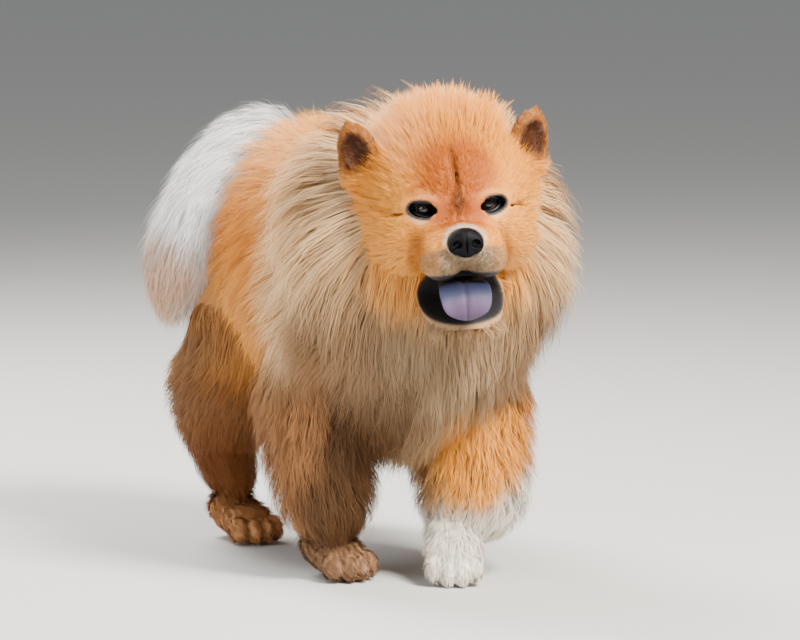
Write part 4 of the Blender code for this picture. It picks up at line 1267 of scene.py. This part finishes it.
def long_coat(
    name,
    tufts,
    length,
    turn=0,
    reach=1.0,
    low=0.02,
    high=0.975,
    stations=4,
    flat_start=0.0,
):
    """Hair lines spread over one tube, marched to their tips, thinned out and drawn as tufts of
    ribbons. Lines that enter another form, the face or the mouth are left out. `flat_start` keeps
    the hair low on the tube's first end, where another form covers it."""
    tube = TUBES[name]
    rng = np.random.default_rng(sum(map(ord, name)))
    u, v = spread_on_tube(tube, tufts, low, high, rng)
    root = coat_point(tube, u, v, np.zeros(tufts))
    keep = ~buried(root, name, 0.004)
    u, v, root = u[keep], v[keep], root[keep]
    count = len(u)
    clump = waves(root, 0.05, 5)
    heading = np.radians(turn * np.clip(np.abs(np.cos(v)) * 1.4, 0, 1)) * np.sign(np.cos(v))
    heading = heading + rng.normal(0, 0.14, count) + 0.25 * waves(root, 0.07, 9)
    size = length * rng.uniform(0.85, 1.12, count) * (1 + 0.10 * clump)
    tips = reach * (1 + 0.05 * clump) * rng.uniform(0.86, 1.03, count)
    tips = tips * (1 - flat_start * step(0.34, 0.06, u))
    lines, normals, aims = march(tube, u, v, heading, size, np.full(count, -0.04), tips)
    ends = lines[:, -1]
    seen = ~buried(lines[:, STEPS * 6 // 10], name)
    if name == "torso":
        seen &= tube_field(ends, TUBES["tail"], 0.8, 20) > 0
    if name == "tail":
        seen &= ends[:, 2] > TAIL_LOWEST
    seen &= (ends[:, 2] > TIP_LOWEST) & ~over_face(lines[:, STEPS // 2]) & ~over_face(ends)
    in_mouth = mouth_field(to_head(lines.reshape(-1, 3))).reshape(lines.shape[:2]) < 0.005
    seen &= ~in_mouth.any(axis=1)
    lines, normals, aims, u, v = (a[seen] for a in (lines, normals, aims, u, v))
    made = ribbons(lines, normals, aims, rng, LONG_HAIRS, 0.007, LONG_WIDTH, stations)
    made[0][..., 2] = np.maximum(made[0][..., 2], LONG_FLOOR)
    made[0][..., 0] = drawn_in(made[0][..., 0])
    # The tail's tips lie outside its own markings, so its hairs keep the tone of their roots
    tip_tone_at = 3 if name == "tail" else STEPS * 2 // 3
    tones = (coat_colour(lines[:, 3]), coat_colour(lines[:, tip_tone_at]))
    left, bottom, wide, tall = CHARTS[name]
    chart = np.stack([left + wide * ((v / (2 * np.pi)) % 1), bottom + tall * u], axis=1)
    put_coat(f"{name}_coat", made, tones, chart, rng, LONG_HAIRS, stations)


long_coat("torso", 5900, 0.085, turn=52)
long_coat("neck", 5600, 0.100, turn=50, reach=1.04, low=0.0, stations=5)
long_coat("tail", 3200, 0.100, low=0.0, stations=5)
long_coat("foreleg_right", 1900, 0.060, high=0.93, flat_start=0.5)
long_coat("foreleg_left", 1900, 0.060, high=0.93, flat_start=0.5)
long_coat("hindleg_right", 1900, 0.065, low=0.05, high=0.93, flat_start=0.85)
long_coat("hindleg_left", 1500, 0.065, low=0.05, high=0.93, flat_start=0.85)
print("triangles so far:", coat_triangles)

# %% [markdown]
# Short hair on the face, ears and feet grows from the skin's own mesh. It points away from the nose,
# as a dog's does, gets longer over the cheeks and crown, and stays off eyes, nose, lips and mouth.

# %% Short coat on the head
def triangles_of(quads):
    """Each four-sided face as two triangles."""
    return np.vstack([quads[:, [0, 1, 2]], quads[:, [0, 2, 3]]])


def point_normals(points, triangles):
    """At each point the sum of its triangles' normals, made of length 1."""
    a, b, c = (points[triangles[:, k]] for k in range(3))
    face = np.cross(b - a, c - a)
    total = np.zeros_like(points)
    for k in range(3):
        for axis in range(3):
            total[:, axis] += np.bincount(triangles[:, k], face[:, axis], len(points))
    return unit(total)


def spread_on_mesh(points, quads, count, weight, rng):
    """Random places on a mesh: triangles drawn by area times weight, then barycentric coordinates."""
    triangles = triangles_of(quads)
    normals = point_normals(points, triangles)
    a, b, c = (points[triangles[:, k]] for k in range(3))
    size = np.linalg.norm(np.cross(b - a, c - a), axis=1) * weight((a + b + c) / 3)
    chosen = rng.choice(len(triangles), count, p=size / size.sum())
    p, q = rng.random(count), rng.random(count)
    over = p + q > 1
    p[over], q[over] = 1 - p[over], 1 - q[over]
    share = np.stack([1 - p - q, p, q], axis=1)[..., None]
    corner = triangles[chosen]
    return (points[corner] * share).sum(axis=1), unit((normals[corner] * share).sum(axis=1))


ROOT_DEPTH = 0.0004


def straight_lines(root, normal, aim, length, lift):
    """root + length t (aim cos lift + normal sin lift (1 - t / 3)), with aim laid along the surface
    and the root ROOT_DEPTH under it."""
    aim = unit(aim - (aim * normal).sum(axis=1, keepdims=True) * normal)
    t = np.linspace(0, 1, STEPS + 1)[None, :, None]
    run = aim[:, None] * np.cos(lift)[:, None, None] * t
    rise = np.sin(lift)[:, None, None] * t * (1 - t / 3)
    lines = root[:, None] - normal[:, None] * ROOT_DEPTH
    lines = lines + length[:, None, None] * (run + normal[:, None] * rise)
    shape = lines.shape
    return lines, np.broadcast_to(normal[:, None], shape), np.broadcast_to(aim[:, None], shape)


def clear_of_ears(local, low, high):
    """0 closer to an ear than `low`, rising to 1 at `high`."""
    away = np.ones(len(local))
    for sign in (-1, 1):
        away *= step(low, high, tube_field(in_ear(local, sign), EAR_TUBE, EAR_SHARE, 12))
    return away


def head_lengths(local):
    """Hair length and lift: a few millimetres on the muzzle, longer to cheeks, crown and throat."""
    x, y, z = local.T
    side = np.abs(x)
    length = 0.0050 + 0.008 * step(-0.045, 0.005, y)
    length += 0.020 * step(0.010, 0.060, y)
    length += 0.026 * step(0.045, 0.080, side) * step(0.0, 0.04, y)
    length += 0.014 * step(-0.085, -0.120, z)
    crown = step(0.040, 0.080, z) * step(0.01, 0.06, y)
    length += 0.041 * crown
    near_eye, near_gap = eye_distances(local)
    length *= 0.12 + 0.88 * step(0.004, 0.022, near_gap) * step(0.014, 0.030, near_eye)
    lift = np.radians(30 + 14 * step(0.0, 0.06, y) + 22 * crown)
    length *= 0.25 + 0.75 * clear_of_ears(local, 0.003, 0.022)
    for sign in (-1, 1):
        ear = on_ear(in_ear(local, sign), 0.001, 0.006, 0.008, 0.022)
        length = length * (1 - ear) + 0.0065 * ear
        lift = lift * (1 - ear) + np.radians(28) * ear
    return length, lift


def head_aims(local):
    """Away from the nose and backwards; up the ears to their tips; down at the throat."""
    aim = local - np.array((0, -0.075, -0.030))
    aim = unit(aim) + np.array((0, 0.35, 0))
    aim[:, 2] -= 0.5 * step(-0.05, -0.10, local[:, 2])
    for sign in (-1, 1):
        ear = on_ear(in_ear(local, sign), 0.001, 0.006, 0.0, 0.015)
        up = np.array((sign * 0.5, 0.3, 1.0))
        aim = aim * (1 - ear[:, None]) + up * ear[:, None]
    return aim


# Skin whose red, green and blue add up to less than this is bare
DARK_SKIN = 0.065


def hair_grows(local):
    """1 where hair grows, 0 on eyes, lids, nose, lips, inside the mouth and on all dark skin."""
    eye, gap = eye_distances(local)
    bare = (eye < EYE_RADIUS + 0.0015) | ((gap < 0.0042) & (eye < 0.024))
    bare |= nose_field(local) < 0.0014
    bare |= (mouth_field(local) < 0.0085) & ((lips_field(local) > 0.0015) | (local[:, 2] < -0.070))
    bare |= coat_colour(to_world(local)).sum(axis=1) < DARK_SKIN
    return (~bare).astype(float)


def short_coat(
    name, surface, tufts, weight, length, aims, chart, to_place, hairs, spread, width, stations=3
):
    """Tufts rooted on a mesh, with their length, lift and direction read from functions of their
    place. Those that enter the mouth are left out."""
    rng = np.random.default_rng(sum(map(ord, name)))
    root, normal = spread_on_mesh(*surface, tufts, weight, rng)
    sizes, lift = length(root)
    sizes = sizes * rng.uniform(0.8, 1.2, tufts)
    aim = unit(aims(root)) + rng.normal(0, 0.10, (tufts, 3))
    lines, normals, headings = straight_lines(root, normal, aim, sizes, lift + rng.normal(0, 0.10, tufts))
    at = to_head(to_place(lines.reshape(-1, 3)))
    in_mouth = ((mouth_field(at) < 0.006) & (at[:, 2] < -0.073)).reshape(lines.shape[:2])
    clear = ~in_mouth.any(axis=1)
    lines, normals, headings, root = (a[clear] for a in (lines, normals, headings, root))
    made = ribbons(lines, normals, headings, rng, hairs, spread, width, stations, pull=0.3, stray=0.05)
    tones = (coat_colour(to_place(root)), coat_colour(to_place(root + (lines[:, -1] - root) * 0.5)))
    placed = to_place(made[0].reshape(-1, 3)).reshape(made[0].shape)
    placed[..., 2] = np.maximum(placed[..., 2], SHORT_FLOOR)
    origin = to_place(np.zeros((1, 3)))
    turned = (to_place(made[1].reshape(-1, 3)) - origin).reshape(made[1].shape)
    put_coat(name, (placed, turned), tones, chart(root), rng, hairs, stations)


def face_chart(local):
    """The head unrolled round its nose-to-nape line."""
    left, bottom, wide, tall = CHARTS["face"]
    turn = (np.arctan2(local[:, 0], local[:, 2] + 0.03) / (2 * np.pi)) % 1
    back = np.clip((local[:, 1] + 0.09) / 0.26, 0, 1)
    return np.stack([left + wide * turn, bottom + tall * back], axis=1)


def head_weight(local):
    """The hair-bearing skin, with few tufts at the back, where the nape's coat lies over it."""
    return hair_grows(local) * (0.05 + 0.95 * step(0.12, 0.09, local[:, 1]))


face_surface = (head_points, head_quads)
short_coat(
    "face_coat",
    face_surface,
    11500,
    head_weight,
    head_lengths,
    head_aims,
    face_chart,
    to_world,
    hairs=7,
    spread=0.0028,
    width=0.0007,
)
print("triangles so far:", coat_triangles)

# %% [markdown]
# The back of the head carries a mane as long as the ruff's, rooted behind and between the ears.

# %% Nape
def nape_weight(local):
    """1 on the back of the head, behind and between the ears."""
    back = step(0.045, 0.075, local[:, 1] - 0.25 * np.abs(local[:, 0]))
    return back * step(-0.06, -0.02, local[:, 2]) * clear_of_ears(local, 0.010, 0.020)


def nape_lengths(local):
    """The ruff's length, and a lift that stands it up behind the crown."""
    high = step(0.0, 0.07, local[:, 2])
    return 0.066 + 0.012 * high, np.radians(50 + 16 * high)


def nape_aims(local):
    """Outwards from the middle of the head, and back."""
    return np.stack([local[:, 0] * 1.0, np.full(len(local), 0.12), local[:, 2] * 0.8], axis=1)


short_coat(
    "nape_coat",
    face_surface,
    1700,
    nape_weight,
    nape_lengths,
    nape_aims,
    face_chart,
    to_world,
    hairs=11,
    spread=0.007,
    width=0.0011,
    stations=5,
)
print("triangles so far:", coat_triangles)

# %% [markdown]
# The feet's hair lies forward and down over the toes and keeps off their soles.

# %% Short coat on the feet
def same_place(place):
    """The body's own frame needs no change of place."""
    return place


def foot_weight(place):
    """1 above the sole."""
    return (place[:, 2] > 0.005).astype(float)


def foot_lengths(place):
    """Longer up the pastern, with one lift of 30 degrees."""
    return 0.010 + 0.014 * step(0.030, 0.060, place[:, 2]), np.full(len(place), math.radians(30))


for foot in PAWS:
    heel, _, _, forward, _ = foot_axes(foot)

    def foot_aims(place, forward=forward):
        """Forward along the toes, and down."""
        return np.tile(forward * 1.0 + np.array((0, 0, -0.6)), (len(place), 1))

    def foot_chart(place, heel=heel, patch=CHARTS[leg_of(foot)]):
        """The foot seen from above, on the lower end of its leg's patch."""
        left, bottom, wide, _ = patch
        across, ahead = np.clip((place[:, :2] - heel[:2]) / 0.30 + 0.5, 0, 1).T
        return np.stack([left + wide * across, bottom + 0.02 + 0.05 * ahead], axis=1)

    short_coat(
        f"foot_{foot}_coat",
        feet[foot],
        1200,
        foot_weight,
        foot_lengths,
        foot_aims,
        foot_chart,
        same_place,
        hairs=6,
        spread=0.0032,
        width=0.0009,
    )
print("triangles so far:", coat_triangles)

# %% [markdown]
# Under the chin the ruff's hair parts and the chest shows. Its own long hair hangs down from the
# front of the body's skin and spreads a little to both sides.

# %% Chest
def chest_weight(place):
    """1 on the front of the chest, fading to both sides and upwards to the throat."""
    x, y, z = place.T
    return step(-0.180, -0.215, y) * step(0.17, 0.20, z) * step(0.43, 0.40, z) * step(0.115, 0.085, np.abs(x))


def chest_lengths(place):
    """Longer low down, and standing off underneath, where it hangs below the body."""
    low = step(0.34, 0.24, place[:, 2])
    under = step(0.25, 0.20, place[:, 2])
    return 0.075 + 0.045 * low - 0.035 * under, np.radians(34 - 14 * low + 44 * under)


def chest_aims(place):
    """Down, and outwards by how far the root is from the middle."""
    return np.stack([place[:, 0] * 4.0, np.full(len(place), -0.12), np.full(len(place), -1.0)], axis=1)


def chest_chart(place):
    """The chest seen from the front, in the strip above the hind legs' patches."""
    return np.stack([0.26 + (place[:, 0] + 0.13) * 0.7, 0.965 + (place[:, 2] - 0.2) * 0.1], axis=1)


short_coat(
    "chest_coat",
    (body_points, body_quads),
    1400,
    chest_weight,
    chest_lengths,
    chest_aims,
    chest_chart,
    same_place,
    hairs=11,
    spread=0.008,
    width=0.0012,
    stations=5,
)
print("coat triangles:", coat_triangles)

# %% Let the skin ride with the body
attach(skin, "root")

# %% [markdown]
# A pale floor and soft lights: one large key from the upper right of the picture, a weaker fill
# from its left, a rim light from behind and an even pale sky. The camera stands where the
# photograph was taken from.

# %% Floor, lights and camera
FLOOR_COLOUR = (0.62, 0.62, 0.60, 1)
SKY_COLOUR = (0.86, 0.88, 0.90, 1)
SKY_STRENGTH = 0.38
# Name, distances from the target in metres (right, towards the camera, up), size, watts, colour
LIGHTS = (
    ("key", 1.7, 1.9, 2.3, 1.2, 460, (1.0, 0.95, 0.87)),
    ("fill", -2.4, 1.6, 1.0, 2.2, 48, (0.97, 0.98, 1.0)),
    ("rim", -1.4, -1.6, 2.4, 1.4, 190, (1.0, 0.97, 0.93)),
)
floor_mesh = bpy.data.meshes.new("floor")
floor_mesh.from_pydata([(-60, -60, 0), (60, -60, 0), (60, 60, 0), (-60, 60, 0)], [], [(0, 1, 2, 3)])
floor = add_object("floor", floor_mesh)
floor_finish = bpy.data.materials.new("Pale floor")
floor_finish.use_nodes = True
floor_shader = floor_finish.node_tree.nodes["Principled BSDF"]
floor_shader.inputs["Base Color"].default_value = FLOOR_COLOUR
floor_shader.inputs["Roughness"].default_value = 0.9
floor_mesh.materials.append(floor_finish)

AZIMUTH, ELEVATION, DISTANCE = math.radians(-26), math.radians(6), 5.5
LENS_MM, SENSOR_MM = 200, 36
TARGET = np.array((0.028, -0.075, 0.306)) + PLACED_BY
level = math.cos(ELEVATION)
back = np.array((math.sin(AZIMUTH) * level, -math.cos(AZIMUTH) * level, math.sin(ELEVATION)))
right = np.array((math.cos(AZIMUTH), math.sin(AZIMUTH), 0))


def look_at(obj, place, target):
    """Turns an object's -Z axis to the target, its X axis level."""
    away = unit(np.asarray(place) - np.asarray(target))
    level = unit(np.cross((0, 0, 1.0), away))
    turn = np.stack([level, np.cross(away, level), away], axis=1)
    obj.matrix_world = Matrix.Translation(tuple(place)) @ Matrix(turn.tolist()).to_4x4()


camera_data = bpy.data.cameras.new("camera")
camera_data.lens = LENS_MM
camera_data.sensor_width = SENSOR_MM
camera = add_object("camera", camera_data)
look_at(camera, TARGET + back * DISTANCE, TARGET)
bpy.context.scene.camera = camera

for name, across, nearer, above, size, power, colour in LIGHTS:
    data = bpy.data.lights.new(name, "AREA")
    data.size = size
    data.energy = power
    data.color = colour
    light = add_object(name, data)
    look_at(light, TARGET + right * across + back * nearer + np.array((0, 0, above)), TARGET)

world = bpy.data.worlds.new("studio")
world.use_nodes = True
sky = world.node_tree.nodes["Background"]
sky.inputs["Color"].default_value = SKY_COLOUR
sky.inputs["Strength"].default_value = SKY_STRENGTH
bpy.context.scene.world = world
print("camera", [round(float(c), 3) for c in camera.location])
